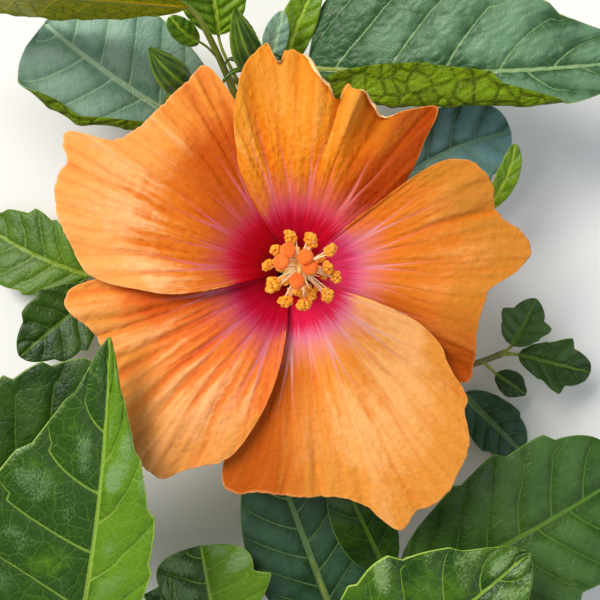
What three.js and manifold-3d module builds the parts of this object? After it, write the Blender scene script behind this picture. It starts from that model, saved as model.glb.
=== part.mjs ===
// Cut flowering branch of hibiscus, lying down with its open bloom facing up.
// Millimetres, +Z up. Places in plan are measured from the axis of the bloom;
// the whole branch is then shifted so that its box is centred on the origin.

import * as THREE from "three";
import { mergeVertices } from "three/addons/utils/BufferGeometryUtils.js";
import Module from "manifold-3d";

const wasm = await Module();
wasm.setup();

// Driving dimensions
const BOX_CENTRE = [0.5, -23.4];   // middle of the branch's box, from the bloom's axis
const GAP = 0.3;                   // clearance between neighbouring pieces
const PETAL_THICK = 0.7;
const CLAW_RADIUS = 4.6;           // where each petal's narrow claw starts
const CLAW_HEIGHT = 37.5;          // height of the claws above the surface below
const THROAT_DEPTH = 23;           // rise of the petals from claw to limb
const THROAT_FLARE = 9;            // how quickly the throat opens out
const PETAL_LAP = 3.0;             // rise of a petal's upper edge over its neighbour
const LAP_START = 3;               // distance in which that rise is reached
const PETAL_DROOP = 4.5;           // fall of the limb at 65 mm from the axis
const LIMB_REACH = 65;
const CLAW_HALF_ANGLE = 26;        // half of the width of a claw, in degrees

const SMALLEST_DETAIL = 0.04;      // joined shapes keep no finer edge than this

const GREEN = { leaf: 0x2f6b1e, blue: 0x3d6a55, young: 0x7fae2b, wood: 0x6a5638 };

const materialOf = (color, roughness) =>
  new THREE.MeshStandardMaterial({ color, roughness, metalness: 0 });

const ORANGE = materialOf(0xf08a2c, 0.6);
const POLLEN = materialOf(0xf2a81d, 0.8);
const STIGMA = materialOf(0xe2572a, 0.8);
const LEAF = materialOf(GREEN.leaf, 0.4);
const BLUE_LEAF = materialOf(GREEN.blue, 0.45);
const YOUNG = materialOf(GREEN.young, 0.5);
const WOOD = materialOf(GREEN.wood, 0.85);

const root = new THREE.Group();
root.position.set(-BOX_CENTRE[0], -BOX_CENTRE[1], 0);

const vec = (p) => new THREE.Vector3(p[0], p[1], p[2]);
const radians = THREE.MathUtils.degToRad;
const clamp01 = (x) => Math.min(1, Math.max(0, x));
const smooth = (a, b, x) => {
  const k = clamp01((x - a) / (b - a));
  return k * k * (3 - 2 * k);
};

// Smooth curve through [x, y] pairs in rising x, read at one x
function through(pairs, x) {
  let i = 1;
  while (i < pairs.length - 1 && pairs[i][0] < x) i += 1;
  const before = pairs[Math.max(0, i - 2)];
  const [x1, y1] = pairs[i - 1];
  const [x2, y2] = pairs[i];
  const after = pairs[Math.min(pairs.length - 1, i + 1)];
  const span = x2 - x1;
  const k = clamp01((x - x1) / span);
  const m1 = ((y2 - before[1]) / (x2 - before[0])) * span;
  const m2 = ((after[1] - y1) / (after[0] - x1)) * span;
  const k2 = k * k;
  const k3 = k2 * k;
  return (2 * k3 - 3 * k2 + 1) * y1 + (k3 - 2 * k2 + k) * m1
    + (3 * k2 - 2 * k3) * y2 + (k3 - k2) * m2;
}

// Closed solids
function weld(geometry) {
  geometry.deleteAttribute("uv");
  geometry.deleteAttribute("normal");
  return mergeVertices(geometry, 1e-4);
}

function toSolid(geometry) {
  const welded = weld(geometry);
  return new wasm.Manifold(new wasm.Mesh({
    numProp: 3,
    vertProperties: new Float32Array(welded.attributes.position.array),
    triVerts: new Uint32Array(welded.index.array),
  }));
}

function fromSolid(solid) {
  const mesh = solid.simplify(SMALLEST_DETAIL).getMesh();
  const geometry = new THREE.BufferGeometry();
  geometry.setAttribute("position", new THREE.BufferAttribute(mesh.vertProperties, 3));
  geometry.setIndex(new THREE.BufferAttribute(mesh.triVerts, 1));
  return geometry;
}

function addPiece(name, geometry, material) {
  const piece = geometry.index && !geometry.attributes.uv ? geometry : weld(geometry);
  piece.computeVertexNormals();
  const mesh = new THREE.Mesh(piece, material);
  mesh.name = name;
  root.add(mesh);
}

// A box whose top and bottom are bent onto the surface at(u, v), u and v in 0 to 1
function bladeGeometry(at, nu, nv, thick) {
  const box = new THREE.BoxGeometry(1, 1, 1, nu, nv, 1);
  const place = box.attributes.position;
  const step = 1e-3;
  const p = new THREE.Vector3();
  for (let i = 0; i < place.count; i += 1) {
    p.fromBufferAttribute(place, i);
    const u = p.x + 0.5;
    const v = p.y + 0.5;
    const side = p.z;
    const du = at(Math.min(1, u + step), v).sub(at(Math.max(0, u - step), v));
    const dv = at(u, Math.min(1, v + step)).sub(at(u, Math.max(0, v - step)));
    const normal = du.cross(dv).normalize();
    const middle = at(u, v).addScaledVector(normal, side * thick);
    place.setXYZ(i, middle.x, middle.y, middle.z);
  }
  return box;
}

// A round limb along a curve, with flat ends; radius is a function of 0 to 1
function limbGeometry(curve, radius, sides, steps) {
  const tube = new THREE.CylinderGeometry(1, 1, 1, sides, steps);
  const frames = curve.computeFrenetFrames(steps);
  const place = tube.attributes.position;
  for (let i = 0; i < place.count; i += 1) {
    const ring = Math.round((place.getY(i) + 0.5) * steps);
    const along = ring / steps;
    const size = radius(along);
    const middle = curve.getPointAt(along);
    middle.addScaledVector(frames.normals[ring], place.getX(i) * size);
    middle.addScaledVector(frames.binormals[ring], -place.getZ(i) * size);
    place.setXYZ(i, middle.x, middle.y, middle.z);
  }
  return tube;
}

const curveOf = (points) => new THREE.CatmullRomCurve3(points.map(vec), false, "centripetal");
const taper = (from, to) => (along) => from + (to - from) * along;

// Turns a geometry made along +Z from the origin so that it runs from one point to another
function layAlong(geometry, from, to) {
  const axis = vec(to).sub(vec(from)).normalize();
  const turn = new THREE.Quaternion().setFromUnitVectors(new THREE.Vector3(0, 0, 1), axis);
  geometry.applyQuaternion(turn);
  geometry.translate(from[0], from[1], from[2]);
  return geometry;
}

// Stem and twigs: the branch lies on the surface from its flat cut up to the bloom,
// then rises to the shoot's tip
const STEM_RADIUS = { cut: 3.2, tip: 1.7 };
const STEM_ROUTE = [
  [15, -136, 3.2], [11, -102, 3.05], [3, -55, 2.75], [-3, -8, 2.5],
  [-9, 23, 2.9], [-13, 40, 8], [-15.5, 51, 18], [-16.5, 56, 28],
];
const TWIGS = {
  twig_lower_left: {
    route: [
      [12, -112, 3], [-6, -122, 8], [-32, -128, 17], [-60, -123, 27], [-84, -107, 33],
      [-99, -84, 36],
    ],
    radius: [1.9, 1.0],
  },
  twig_right: {
    route: [[0, -30, 2.6], [18, -33, 7], [40, -31, 12], [56, -27, 14], [65, -23.5, 15]],
    radius: [1.5, 0.9],
  },
  twig_upper_right: {
    route: [[-7, 14, 2.6], [8, 18, 12], [26, 20, 19], [42, 17, 21], [56, 16, 23]],
    radius: [1.4, 0.8],
  },
  twig_left: {
    route: [[-4, 0, 2.5], [-20, -3, 7], [-40, -2, 9], [-58, 2, 8.6]],
    radius: [1.5, 0.9],
  },
};
const PEDICEL_ROUTE = [
  [1.5, -45, 2.7], [3, -38, 8], [3, -22, 14], [0.8, -7, 17], [0, 0, 21], [0, 0, 24.2],
];

const limbs = {};

function limb(route, radius) {
  return { curve: curveOf(route), radius };
}

// Rings where the leaves of earlier seasons stood
const STEM_NODES = { count: 9, swelling: 0.28 };

function nodeSwelling(along) {
  const ring = Math.max(0, Math.cos(along * 2 * Math.PI * STEM_NODES.count));
  return STEM_NODES.swelling * ring ** 6;
}

limbs.main_stem = limb(STEM_ROUTE, (along) =>
  taper(STEM_RADIUS.cut, STEM_RADIUS.tip)(along) + nodeSwelling(along) * smooth(0, 0.08, along));
for (const [name, twig] of Object.entries(TWIGS)) {
  limbs[name] = limb(twig.route, taper(...twig.radius));
}
limbs.pedicel = limb(PEDICEL_ROUTE, (along) => 1.25 + 0.9 * smooth(0.86, 1, along));

// The space round a limb that other pieces keep out of
function spaceRound(name) {
  const { curve, radius } = limbs[name];
  return toSolid(limbGeometry(curve, (along) => radius(along) + GAP, 10, 22));
}

const keepOut = {};
for (const name of Object.keys(limbs)) keepOut[name] = spaceRound(name);

function largestPart(solid) {
  const parts = solid.decompose();
  return parts.reduce((best, part) => (part.volume() > best.volume() ? part : best));
}

function clearOf(solid, names) {
  let left = solid;
  for (const name of names) left = left.subtract(keepOut[name]);
  return largestPart(left);
}

function addLimbs() {
  const stem = limbs.main_stem;
  addPiece("main_stem", limbGeometry(stem.curve, stem.radius, 10, 22), WOOD);
  for (const name of [...Object.keys(TWIGS), "pedicel"]) {
    const { curve, radius } = limbs[name];
    const twig = toSolid(limbGeometry(curve, radius, 7, 11));
    addPiece(name, fromSolid(clearOf(twig, ["main_stem"])), name === "pedicel" ? YOUNG : WOOD);
  }
}

// Petals: each fans out from its claw. The outline gives the reach of the margin, in mm
// from the claw, at angles from the petal's own direction. The edge on the side of the
// larger angles lies over the next petal, the other edge under its neighbour.
const PETALS = {
  petal_upper_left: {
    heading: 150, ruffle: 1.0, folds: 9, phase: 0.6,
    outline: [
      [-54, 18], [-50, 33], [-45, 45], [-40, 57], [-33, 55.6], [-24, 53.8], [-14, 53.2],
      [-8, 55.2], [-5, 58.5], [-2, 68.2], [1, 67.4], [4, 64.5], [9, 64.8], [17, 62.2],
      [24, 57.4], [34, 51], [41, 38.5], [47, 29], [53, 16],
    ],
  },
  petal_top: {
    heading: 80, ruffle: 2.0, folds: 11, phase: 2.1,
    outline: [
      [-53, 20], [-49, 31], [-44, 38], [-38, 47], [-34, 55.4], [-28, 50], [-22, 44.4],
      [-16, 46], [-12, 47.6], [-9, 47], [-6.4, 48.4], [-4.6, 43.4], [0, 46.4], [4, 49.2],
      [7, 53.4], [10, 55.6], [13.6, 55.4], [15.4, 52.8], [18.2, 57.8], [25, 53.4], [30, 46.8],
      [35, 40], [39, 33.4], [45, 26.5], [52, 14],
    ],
  },
  petal_right: {
    heading: 5, ruffle: 1.2, folds: 8, phase: 4.0,
    outline: [
      [-52, 22], [-47, 41], [-41, 52.4], [-35, 51.4], [-27, 48.2], [-18, 47.7],
      [-11, 49], [-5, 56.4], [0, 60.2], [5, 58.6], [11, 53.4], [16, 53], [21, 54.2],
      [27, 52.8], [32, 49.5], [36, 42], [39, 28], [45, 15],
    ],
  },
  petal_lower_right: {
    heading: -65, ruffle: 1.0, folds: 9, phase: 5.2,
    outline: [
      [-54, 20], [-51, 39], [-48, 55.6], [-43, 59.4], [-36, 57.2], [-25, 57.3], [-15, 58.2],
      [-8, 63.4], [-3, 72.3], [2, 69.2], [5, 69.9], [9, 69.4], [14, 67], [22, 62.2],
      [28, 55.2], [31, 54.4], [36, 46.2], [43, 39.8], [49, 31], [54, 18],
    ],
  },
  petal_lower_left: {
    heading: 223, ruffle: 0.8, folds: 10, phase: 1.3,
    outline: [
      [-53, 20], [-46, 44], [-42, 56.6], [-37, 59.4], [-30, 54], [-24, 52], [-12, 54.5],
      [0, 58.5], [10, 62.4], [16, 62], [21, 56], [28, 51.4], [32, 46.8], [36, 39.5], [42, 29],
      [51, 14],
    ],
  },
};

function petalHeight(petal, x, y, reach) {
  const rho = Math.hypot(x, y);
  let bearing = THREE.MathUtils.radToDeg(Math.atan2(y, x)) - petal.heading;
  bearing = ((bearing + 540) % 360) - 180;
  const out = Math.max(0, rho - CLAW_RADIUS);
  const throat = THROAT_DEPTH * (1 - Math.exp(-out / THROAT_FLARE));
  const lap = PETAL_LAP * (bearing / 60) * (1 - Math.exp(-out / LAP_START));
  const droop = PETAL_DROOP * (rho / LIMB_REACH) ** 3;
  const wave = Math.sin(radians(bearing) * petal.folds + petal.phase);
  const ruffle = petal.ruffle * wave * smooth(0.45, 1, reach);
  return CLAW_HEIGHT + throat + lap - droop + ruffle;
}

function petalPoint(petal, u, v) {
  const first = petal.outline[0][0];
  const last = petal.outline[petal.outline.length - 1][0];
  const bearing = first + (last - first) * u;
  const reach = through(petal.outline, bearing);
  const heading = radians(petal.heading);
  const ray = heading + radians(bearing);
  const foot = heading + radians(CLAW_HALF_ANGLE * (2 * u - 1));
  const marginX = CLAW_RADIUS * Math.cos(heading) + reach * Math.cos(ray);
  const marginY = CLAW_RADIUS * Math.sin(heading) + reach * Math.sin(ray);
  const x = THREE.MathUtils.lerp(CLAW_RADIUS * Math.cos(foot), marginX, v);
  const y = THREE.MathUtils.lerp(CLAW_RADIUS * Math.sin(foot), marginY, v);
  return new THREE.Vector3(x, y, petalHeight(petal, x, y, v));
}

function addPetals() {
  for (const [name, petal] of Object.entries(PETALS)) {
    const at = (u, v) => petalPoint(petal, u, v ** 1.3);
    addPiece(name, bladeGeometry(at, 19, 7, PETAL_THICK), ORANGE);
  }
}

// Calyx and epicalyx under the bloom
const CALYX = {
  outer: [[0, 27], [3, 27], [5.6, 29.5], [7.4, 33], [8.6, 38], [9.4, 43]],
  inner: [[8.6, 43], [7.8, 38], [6.5, 33.5], [4.6, 30.5], [0, 30.5]],
  lobeRise: 4.5,
  lobeSpread: 3.4,
};
const EPICALYX = {
  discRadius: 3.1, bottom: 24.5, top: 26.7, bracts: 6, length: 11, half: 1.15, rise: 5.5,
};
const BRACT_THICK = 0.5;
const BRACT_END = 0.12;        // half width of a bract at its tip

function addCalyx() {
  const profile = [...CALYX.outer, ...CALYX.inner].map(([r, z]) => new THREE.Vector2(r, z));
  const cup = new THREE.LatheGeometry(profile, 20);
  cup.rotateX(Math.PI / 2);
  const place = cup.attributes.position;
  for (let i = 0; i < place.count; i += 1) {
    const x = place.getX(i);
    const y = place.getY(i);
    const z = place.getZ(i);
    const round = Math.atan2(y, x) / (2 * Math.PI) * 5;
    const lobe = 1 - 2 * Math.abs(round - Math.round(round));
    const high = smooth(37, 43, z) * lobe;
    const grow = 1 + (CALYX.lobeSpread * high) / Math.max(1, Math.hypot(x, y));
    place.setXYZ(i, x * grow, y * grow, z + CALYX.lobeRise * high);
  }
  addPiece("calyx", cup, YOUNG);
}

function addEpicalyx() {
  const { discRadius, bottom, top, bracts, length, half, rise } = EPICALYX;
  const disc = new THREE.CylinderGeometry(discRadius, discRadius - 0.5, top - bottom, 14);
  disc.rotateX(Math.PI / 2);
  disc.translate(0, 0, (top + bottom) / 2);
  let whole = toSolid(disc);
  for (let i = 0; i < bracts; i += 1) {
    const turn = (i / bracts) * 2 * Math.PI;
    const at = (u, v) => {
      const out = discRadius - 1.2 + length * (v - 0.2 * v * v);
      const wide = half * (1 - v) ** 0.7 + BRACT_END;
      const across = wide * (2 * u - 1);
      const x = out * Math.cos(turn) - across * Math.sin(turn);
      const y = out * Math.sin(turn) + across * Math.cos(turn);
      return new THREE.Vector3(x, y, bottom + 0.9 + rise * v * v);
    };
    whole = whole.add(toSolid(bladeGeometry(at, 1, 3, BRACT_THICK)));
  }
  addPiece("epicalyx", fromSolid(whole), YOUNG);
}

// Staminal column with its anthers, and the style that leaves its top
const COLUMN_FOOT = 30.9;
const COLUMN_TOP = 101;
const COLUMN_ROUTE = [
  [0, 0, COLUMN_FOOT], [0, 0, 45], [0.9, -0.6, 68], [2.0, -0.9, 88], [1.6, 0.6, COLUMN_TOP],
];
// Radius of the column at heights above the surface below
const COLUMN_RADII = [
  [COLUMN_FOOT, 3.6], [37, 3.7], [43, 2.9], [55, 2.1], [85, 1.5], [COLUMN_TOP, 1.15],
];
const ANTHERS = {
  count: 32, from: 0.62, to: 0.99, filament: 9.2, filamentRadius: 0.28, size: 1.3,
};
const GOLDEN_ANGLE = Math.PI * (3 - Math.sqrt(5));

function columnRadius(along) {
  return through(COLUMN_RADII, COLUMN_FOOT + along * (COLUMN_TOP - COLUMN_FOOT));
}

function antherPlaces(curve) {
  const places = [];
  for (let i = 0; i < ANTHERS.count; i += 1) {
    const k = i / (ANTHERS.count - 1);
    const along = ANTHERS.from + (ANTHERS.to - ANTHERS.from) * k;
    const turn = i * GOLDEN_ANGLE;
    const reach = ANTHERS.filament * (1 - 0.3 * k * k) * (1 + 0.16 * Math.sin(i * 2.4));
    const rise = 1.5 + 2.2 * k + 0.8 * Math.sin(i * 1.7);
    const foot = curve.getPointAt(along);
    const tip = new THREE.Vector3(Math.cos(turn) * reach, Math.sin(turn) * reach, rise).add(foot);
    places.push({ foot, tip, turn });
  }
  return places;
}

function addColumn() {
  const curve = curveOf(COLUMN_ROUTE);
  let whole = toSolid(limbGeometry(curve, columnRadius, 8, 10));
  for (const { foot, tip, turn } of antherPlaces(curve)) {
    const filament = curveOf([foot.toArray(), tip.toArray()]);
    whole = whole.add(toSolid(limbGeometry(filament, () => ANTHERS.filamentRadius, 3, 1)));
    const anther = new THREE.IcosahedronGeometry(ANTHERS.size, 0);
    anther.scale(0.8, 1.1, 0.75);
    anther.rotateZ(turn);
    anther.translate(tip.x, tip.y, tip.z);
    whole = whole.add(toSolid(anther));
  }
  addPiece("staminal_column", fromSolid(largestPart(whole)), POLLEN);
}

const STIGMAS = [
  [-1.2, 3.6, 105.6], [-2.8, 1.0, 106.2], [2.9, 2.2, 105.4], [4.0, -0.2, 104.6],
  [0.9, -3.4, 105.8],
];
const STYLE = {
  foot: [1.6, 0.6, COLUMN_TOP + 0.35], fork: [1.4, 0.9, 102.4], top: [1.4, 0.9, 103],
  bend: [2.0, 1.0, 104], neckRadius: 0.75, branchRadius: 0.36,
  padTop: 1.75, padUnder: 1.45, padThick: 1.3,
};

function addStyle() {
  const neck = curveOf([STYLE.foot, STYLE.top]);
  let whole = toSolid(limbGeometry(neck, () => STYLE.neckRadius, 8, 1));
  for (const pad of STIGMAS) {
    const bend = [(pad[0] + STYLE.bend[0]) / 2, (pad[1] + STYLE.bend[1]) / 2, STYLE.bend[2]];
    const branch = curveOf([STYLE.fork, bend, [pad[0], pad[1], pad[2] - 0.2]]);
    whole = whole.add(toSolid(limbGeometry(branch, () => STYLE.branchRadius, 4, 3)));
    const disc = new THREE.CylinderGeometry(STYLE.padTop, STYLE.padUnder, STYLE.padThick, 7);
    disc.rotateX(Math.PI / 2);
    disc.translate(pad[0], pad[1], pad[2]);
    whole = whole.add(toSolid(disc));
  }
  addPiece("style", fromSolid(whole), STIGMA);
}

// Leaves. Each has its place, the bend of its midrib, its outline and how it folds.
// arch lifts the middle of the midrib, sweep bends it to its left, roll turns the blade
// about it, fold lifts both halves, draw narrows the blade towards a drawn-out tip and jag
// scales its teeth. A rolled side turns over at a distance from the midrib, through an
// angle, and runs on straight from there. Below its knee the fold line comes in towards
// the base, and flap is how far such a side runs on at most.
const LEAVES = {
  leaf_top_right: {
    base: [4, 60, 31], tip: [111, 63, 37], arch: 11, sweep: -5, half: 33, widest: 0.28,
    round: 0.3, roll: 0, fold: 4, right: { from: 8, angle: 172 }, rightShare: 0.78, draw: 0.65,
    teeth: 6, colour: BLUE_LEAF, limb: "main_stem", at: 0.955,
  },
  leaf_top_left: {
    base: [-29, 71.5, 58], tip: [-110, 77, 48], arch: 6, sweep: 0, half: 21, widest: 0.5,
    roll: 95, fold: 2, teeth: 7, colour: LEAF, limb: "main_stem", at: 0.9, ease: 0.08, stalk: 1.25,
  },
  leaf_upper_left: {
    base: [-22, 39, 22], tip: [-73, 73, 31], arch: 4, sweep: 2, half: 24.5, widest: 0.6,
    round: 0.5, roll: 0, fold: -2, left: { from: 15.5, angle: 172, knee: 0.6, flap: 1 },
    rightShare: 0.9, teeth: 0, colour: BLUE_LEAF, limb: "main_stem", at: 0.86,
  },
  leaf_lower_left: {
    base: [-64, -117, 44], tip: [-48, -17.5, 70], arch: 4, sweep: -3, half: 36, widest: 0.42,
    roll: 0, fold: 12, rightShare: 0.46, draw: 0.6, teeth: 7, colour: LEAF, limb: "twig_lower_left",
    at: 0.57,
  },
  leaf_left_behind: {
    base: [-101, -70, 37], tip: [-41, -33, 46], arch: 5, sweep: 3, half: 20, widest: 0.5,
    roll: 0, fold: 6, teeth: 7, colour: LEAF, limb: "twig_lower_left", at: 0.98,
  },
  leaf_bottom: {
    base: [12, -122, 38], tip: [65, -77.5, 51], arch: 5, sweep: 0, half: 25, widest: 0.46,
    roll: 0, fold: 8, draw: 0.35, teeth: 5, colour: LEAF, limb: "main_stem", at: 0.1,
  },
  leaf_lower_right: {
    base: [33, -95, 25], tip: [98, -58, 30], arch: 6, sweep: 0, half: 23, widest: 0.55,
    round: 0.5, roll: 0, fold: 4, teeth: 5, colour: LEAF, limb: "main_stem", at: 0.25,
  },
  leaf_bottom_centre: {
    base: [13, -107, 18], tip: [-9.6, -44.6, 24], arch: 4, sweep: 0, half: 17.5, widest: 0.42,
    roll: 0, fold: 6, teeth: 0, colour: BLUE_LEAF, limb: "main_stem", at: 0.17,
  },
  leaf_bottom_inner: {
    base: [27, -88, 28], tip: [11.5, -54, 37], arch: 2, sweep: 0, half: 8.6, widest: 0.45,
    roll: 0, fold: 8, teeth: 0, colour: LEAF, limb: "main_stem", at: 0.3,
  },
  leaf_bottom_left: {
    base: [-21, -117, 20], tip: [-27.5, -80, 29], arch: 3, sweep: 0, half: 15, widest: 0.6,
    roll: 0, fold: 6, teeth: 4, jag: 3, colour: LEAF, limb: "twig_lower_left", at: 0.28,
  },
  leaf_bottom_left_small: {
    base: [-31, -112, 27], tip: [-36, -88, 35], arch: 2, sweep: 1, half: 4, widest: 0.45,
    roll: -35, fold: 24, teeth: 0, colour: LEAF, limb: "twig_lower_left", at: 0.36,
  },
  leaf_left_low: {
    base: [-64, 0, 9], tip: [-102, 19, 0.25], arch: 3, sweep: 2, half: 12, widest: 0.45,
    roll: 0, fold: 5, draw: 0.3, teeth: 5, jag: 1.6, colour: LEAF, limb: "twig_left", at: 0.97,
  },
  leaf_left_low_small: {
    base: [-60, -5, 10], tip: [-84, -25, 14], arch: 2, sweep: 0, half: 10.5, widest: 0.5,
    roll: 0, fold: 6, draw: 0.3, teeth: 4, jag: 1.6, colour: LEAF, limb: "twig_left", at: 0.92,
  },
  leaf_right_shoot_up: {
    base: [66, -21.5, 17], tip: [72.5, -7.5, 21], arch: 1, sweep: 0, half: 6.4, widest: 0.45,
    roll: 10, fold: 6, draw: 0.3, teeth: 3, jag: 4, colour: LEAF, limb: "twig_right", at: 0.96,
  },
  leaf_right_shoot_out: {
    base: [68.5, -24.5, 15], tip: [90.5, -30, 13], arch: 1.5, sweep: 0, half: 6.4, widest: 0.55,
    roll: 0, fold: 14, draw: 0.4, teeth: 3, jag: 4, colour: LEAF, limb: "twig_right", at: 0.97,
  },
  leaf_right_shoot_small: {
    base: [62, -30.5, 12.5], tip: [71.5, -37, 9], arch: 1, sweep: 0, half: 3.8, widest: 0.5,
    roll: 0, fold: 8, draw: 0.5, teeth: 0, colour: LEAF, limb: "twig_right", at: 0.88,
  },
  leaf_right_shoot_low: {
    base: [52, -37, 10], tip: [72, -56, 0.25], arch: 1.5, sweep: 0, half: 7.8, widest: 0.5,
    roll: 0, fold: 5, teeth: 3, colour: BLUE_LEAF, limb: "twig_right", at: 0.72,
  },
  leaf_blue_right: {
    base: [30, 27, 23], tip: [64, 42, 26], arch: 2, sweep: 2, half: 12.5, widest: 0.55,
    roll: 0, fold: 4, teeth: 4, colour: BLUE_LEAF, limb: "twig_upper_right", at: 0.52,
  },
  leaf_pale_right: {
    base: [56.5, 19, 25], tip: [64, 37.5, 33], arch: 2, sweep: -1.5, half: 3.2, widest: 0.5,
    roll: 12, fold: 14, teeth: 0, colour: YOUNG, limb: "twig_upper_right", at: 0.97,
  },
  young_leaf_tall: {
    base: [-22, 69, 35], tip: [-26.5, 89, 43], arch: 1, sweep: -1, half: 9.5, widest: 0.5,
    roll: 0, fold: 14, teeth: 3, colour: YOUNG, limb: "main_stem", at: 1,
  },
  young_leaf_lobe: {
    base: [-27.4, 66.5, 37], tip: [-35, 72.4, 43], arch: 1, sweep: 1, half: 3.2, widest: 0.5,
    roll: 0, fold: 14, teeth: 0, colour: YOUNG, limb: "main_stem", at: 0.975,
  },
  young_leaf_pale: {
    base: [-3, 60.5, 26], tip: [7, 84, 35], arch: 2, sweep: 1, half: 5, widest: 0.5,
    roll: 0, fold: 12, teeth: 0, colour: YOUNG, limb: "main_stem", at: 0.9,
  },
  young_leaf_blue: {
    base: [-7, 62, 33], tip: [-3.3, 74.5, 40], arch: 1, sweep: 0, half: 3.4, widest: 0.45,
    roll: 0, fold: 10, teeth: 0, colour: BLUE_LEAF, limb: "main_stem", at: 0.99,
  },
};
const LEAF_END = 0.3;          // half width of a blade at its very tip
const SMALL_LEAF = 14;         // half width below which a leaf has a plain blade
const TOOTH = { rise: 0.11, steep: 0.85, base: 0.03 };
const ROLL_RADIUS = 2.6;       // of the bend where a side turns over
const ROLL_SWEEP = 1.7;        // how fast the fold line comes in below its knee
const UP = new THREE.Vector3(0, 0, 1);

function midribPoint(leaf, t) {
  const from = vec(leaf.base);
  const to = vec(leaf.tip);
  const across = new THREE.Vector3().subVectors(to, from);
  const left = new THREE.Vector3().crossVectors(UP, across).normalize();
  const bulge = 4 * t * (1 - t);
  return from.lerp(to, t).addScaledVector(UP, leaf.arch * bulge)
    .addScaledVector(left, leaf.sweep * bulge);
}

function toothAt(leaf, t) {
  if (!leaf.teeth) return 1;
  const saw = (t * leaf.teeth) % 1;
  const jag = saw < TOOTH.steep ? saw / TOOTH.steep : (1 - saw) / (1 - TOOTH.steep);
  return 1 + TOOTH.rise * (leaf.jag ?? 1) * jag * smooth(0.22, 0.5, t) - TOOTH.base;
}

function halfWidth(leaf, t) {
  const start = leaf.round ?? 0.62;
  const end = (start * (1 - leaf.widest)) / leaf.widest;
  const rise = (t / leaf.widest) ** start;
  const fall = ((1 - t) / (1 - leaf.widest)) ** end;
  const drawn = 1 - (leaf.draw ?? 0) * smooth(leaf.widest, 1, t);
  return leaf.half * rise * fall * drawn * toothAt(leaf, t) + LEAF_END;
}

// Width of one side of the blade, where it starts to turn over and the length of that bend
function sideOf(leaf, side, t) {
  const natural = halfWidth(leaf, t) * (side < 0 ? leaf.rightShare ?? 1 : 1);
  const turned = side < 0 ? leaf.right : leaf.left;
  if (!turned) return { wide: natural, rollFrom: natural, arc: 0 };
  const sweep = turned.knee ? Math.min(1, t / turned.knee) ** ROLL_SWEEP : 1;
  const rollFrom = turned.from * sweep;
  const arc = radians(turned.angle) * ROLL_RADIUS;
  const wide = Math.min(natural, rollFrom + arc + (turned.flap ?? natural));
  return { wide, rollFrom, arc };
}

function leafPoint(leaf, side, t) {
  const step = 1e-3;
  const ahead = midribPoint(leaf, Math.min(1, t + step));
  const along = ahead.sub(midribPoint(leaf, Math.max(0, t - step))).normalize();
  const left = new THREE.Vector3().crossVectors(UP, along).normalize();
  left.applyAxisAngle(along, radians(leaf.roll));
  const up = new THREE.Vector3().crossVectors(along, left);
  const { wide, rollFrom, arc } = sideOf(leaf, side, t);
  const distance = Math.abs(side) * wide;
  const fold = radians(leaf.fold);
  const flat = Math.min(distance, rollFrom);
  const bend = Math.min(distance - flat, arc);
  const flap = distance - flat - bend;
  const angle = fold + bend / ROLL_RADIUS;
  const out = flat * Math.cos(fold) + flap * Math.cos(angle)
    + ROLL_RADIUS * (Math.sin(angle) - Math.sin(fold));
  const rise = flat * Math.sin(fold) + flap * Math.sin(angle)
    - ROLL_RADIUS * (Math.cos(angle) - Math.cos(fold));
  const sign = side < 0 ? -1 : 1;
  return midribPoint(leaf, t).addScaledVector(left, sign * out).addScaledVector(up, rise);
}

const leafThick = (leaf) => Math.max(0.55, vec(leaf.base).distanceTo(vec(leaf.tip)) / 95);

function rowsOf(leaf) {
  const rows = leaf.teeth ? leaf.teeth * 2 : 6;
  const toothed = (row) => (Math.floor(row / 2) + (row % 2 ? TOOTH.steep : 0)) / leaf.teeth;
  const place = (v) => (leaf.teeth ? toothed(Math.round(v * rows)) : v);
  return { rows, place };
}

function leafBlade(leaf) {
  const { rows, place } = rowsOf(leaf);
  const plain = leaf.half > SMALL_LEAF ? 6 : 2;
  const across = leaf.left || leaf.right ? 16 : plain;
  // Rows meet the teeth, and the place between two rows is read off in between
  const at = (u, v) => {
    const below = Math.floor(v * rows + 1e-9);
    const above = Math.min(rows, below + 1);
    const t = THREE.MathUtils.lerp(place(below / rows), place(above / rows), v * rows - below);
    return leafPoint(leaf, 1 - 2 * u, Math.min(1, t));
  };
  return toSolid(bladeGeometry(at, across, rows, leafThick(leaf)));
}

function leafRib(leaf) {
  const foot = limbs[leaf.limb].curve.getPointAt(leaf.at);
  const base = midribPoint(leaf, 0);
  const heading = midribPoint(leaf, 0.08).sub(base).normalize();
  const reach = foot.distanceTo(base);
  const lift = foot.clone().addScaledVector(UP, 0.3 * reach).lerp(base, 0.12);
  const before = base.clone().addScaledVector(heading, -(leaf.ease ?? 0.3) * reach);
  const petiole = new THREE.CubicBezierCurve3(foot, lift, before, base);
  const points = petiole.getPoints(5);
  const large = leaf.half > SMALL_LEAF;
  for (const t of large ? [0.28, 0.55, 0.8] : [0.2]) points.push(midribPoint(leaf, t));
  for (const p of points.slice(5)) p.addScaledVector(UP, -0.35 * leafThick(leaf));
  const curve = new THREE.CatmullRomCurve3(points, false, "centripetal");
  const radius = large ? taper(leaf.stalk ?? 1, 0.35) : taper(0.62, 0.4);
  return toSolid(limbGeometry(curve, radius, large ? 5 : 4, large ? 10 : 6));
}

function addLeaves() {
  for (const [name, leaf] of Object.entries(LEAVES)) {
    const whole = leafBlade(leaf).add(leafRib(leaf));
    addPiece(name, fromSolid(clearOf(whole, [leaf.limb])), leaf.colour);
  }
}

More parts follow.
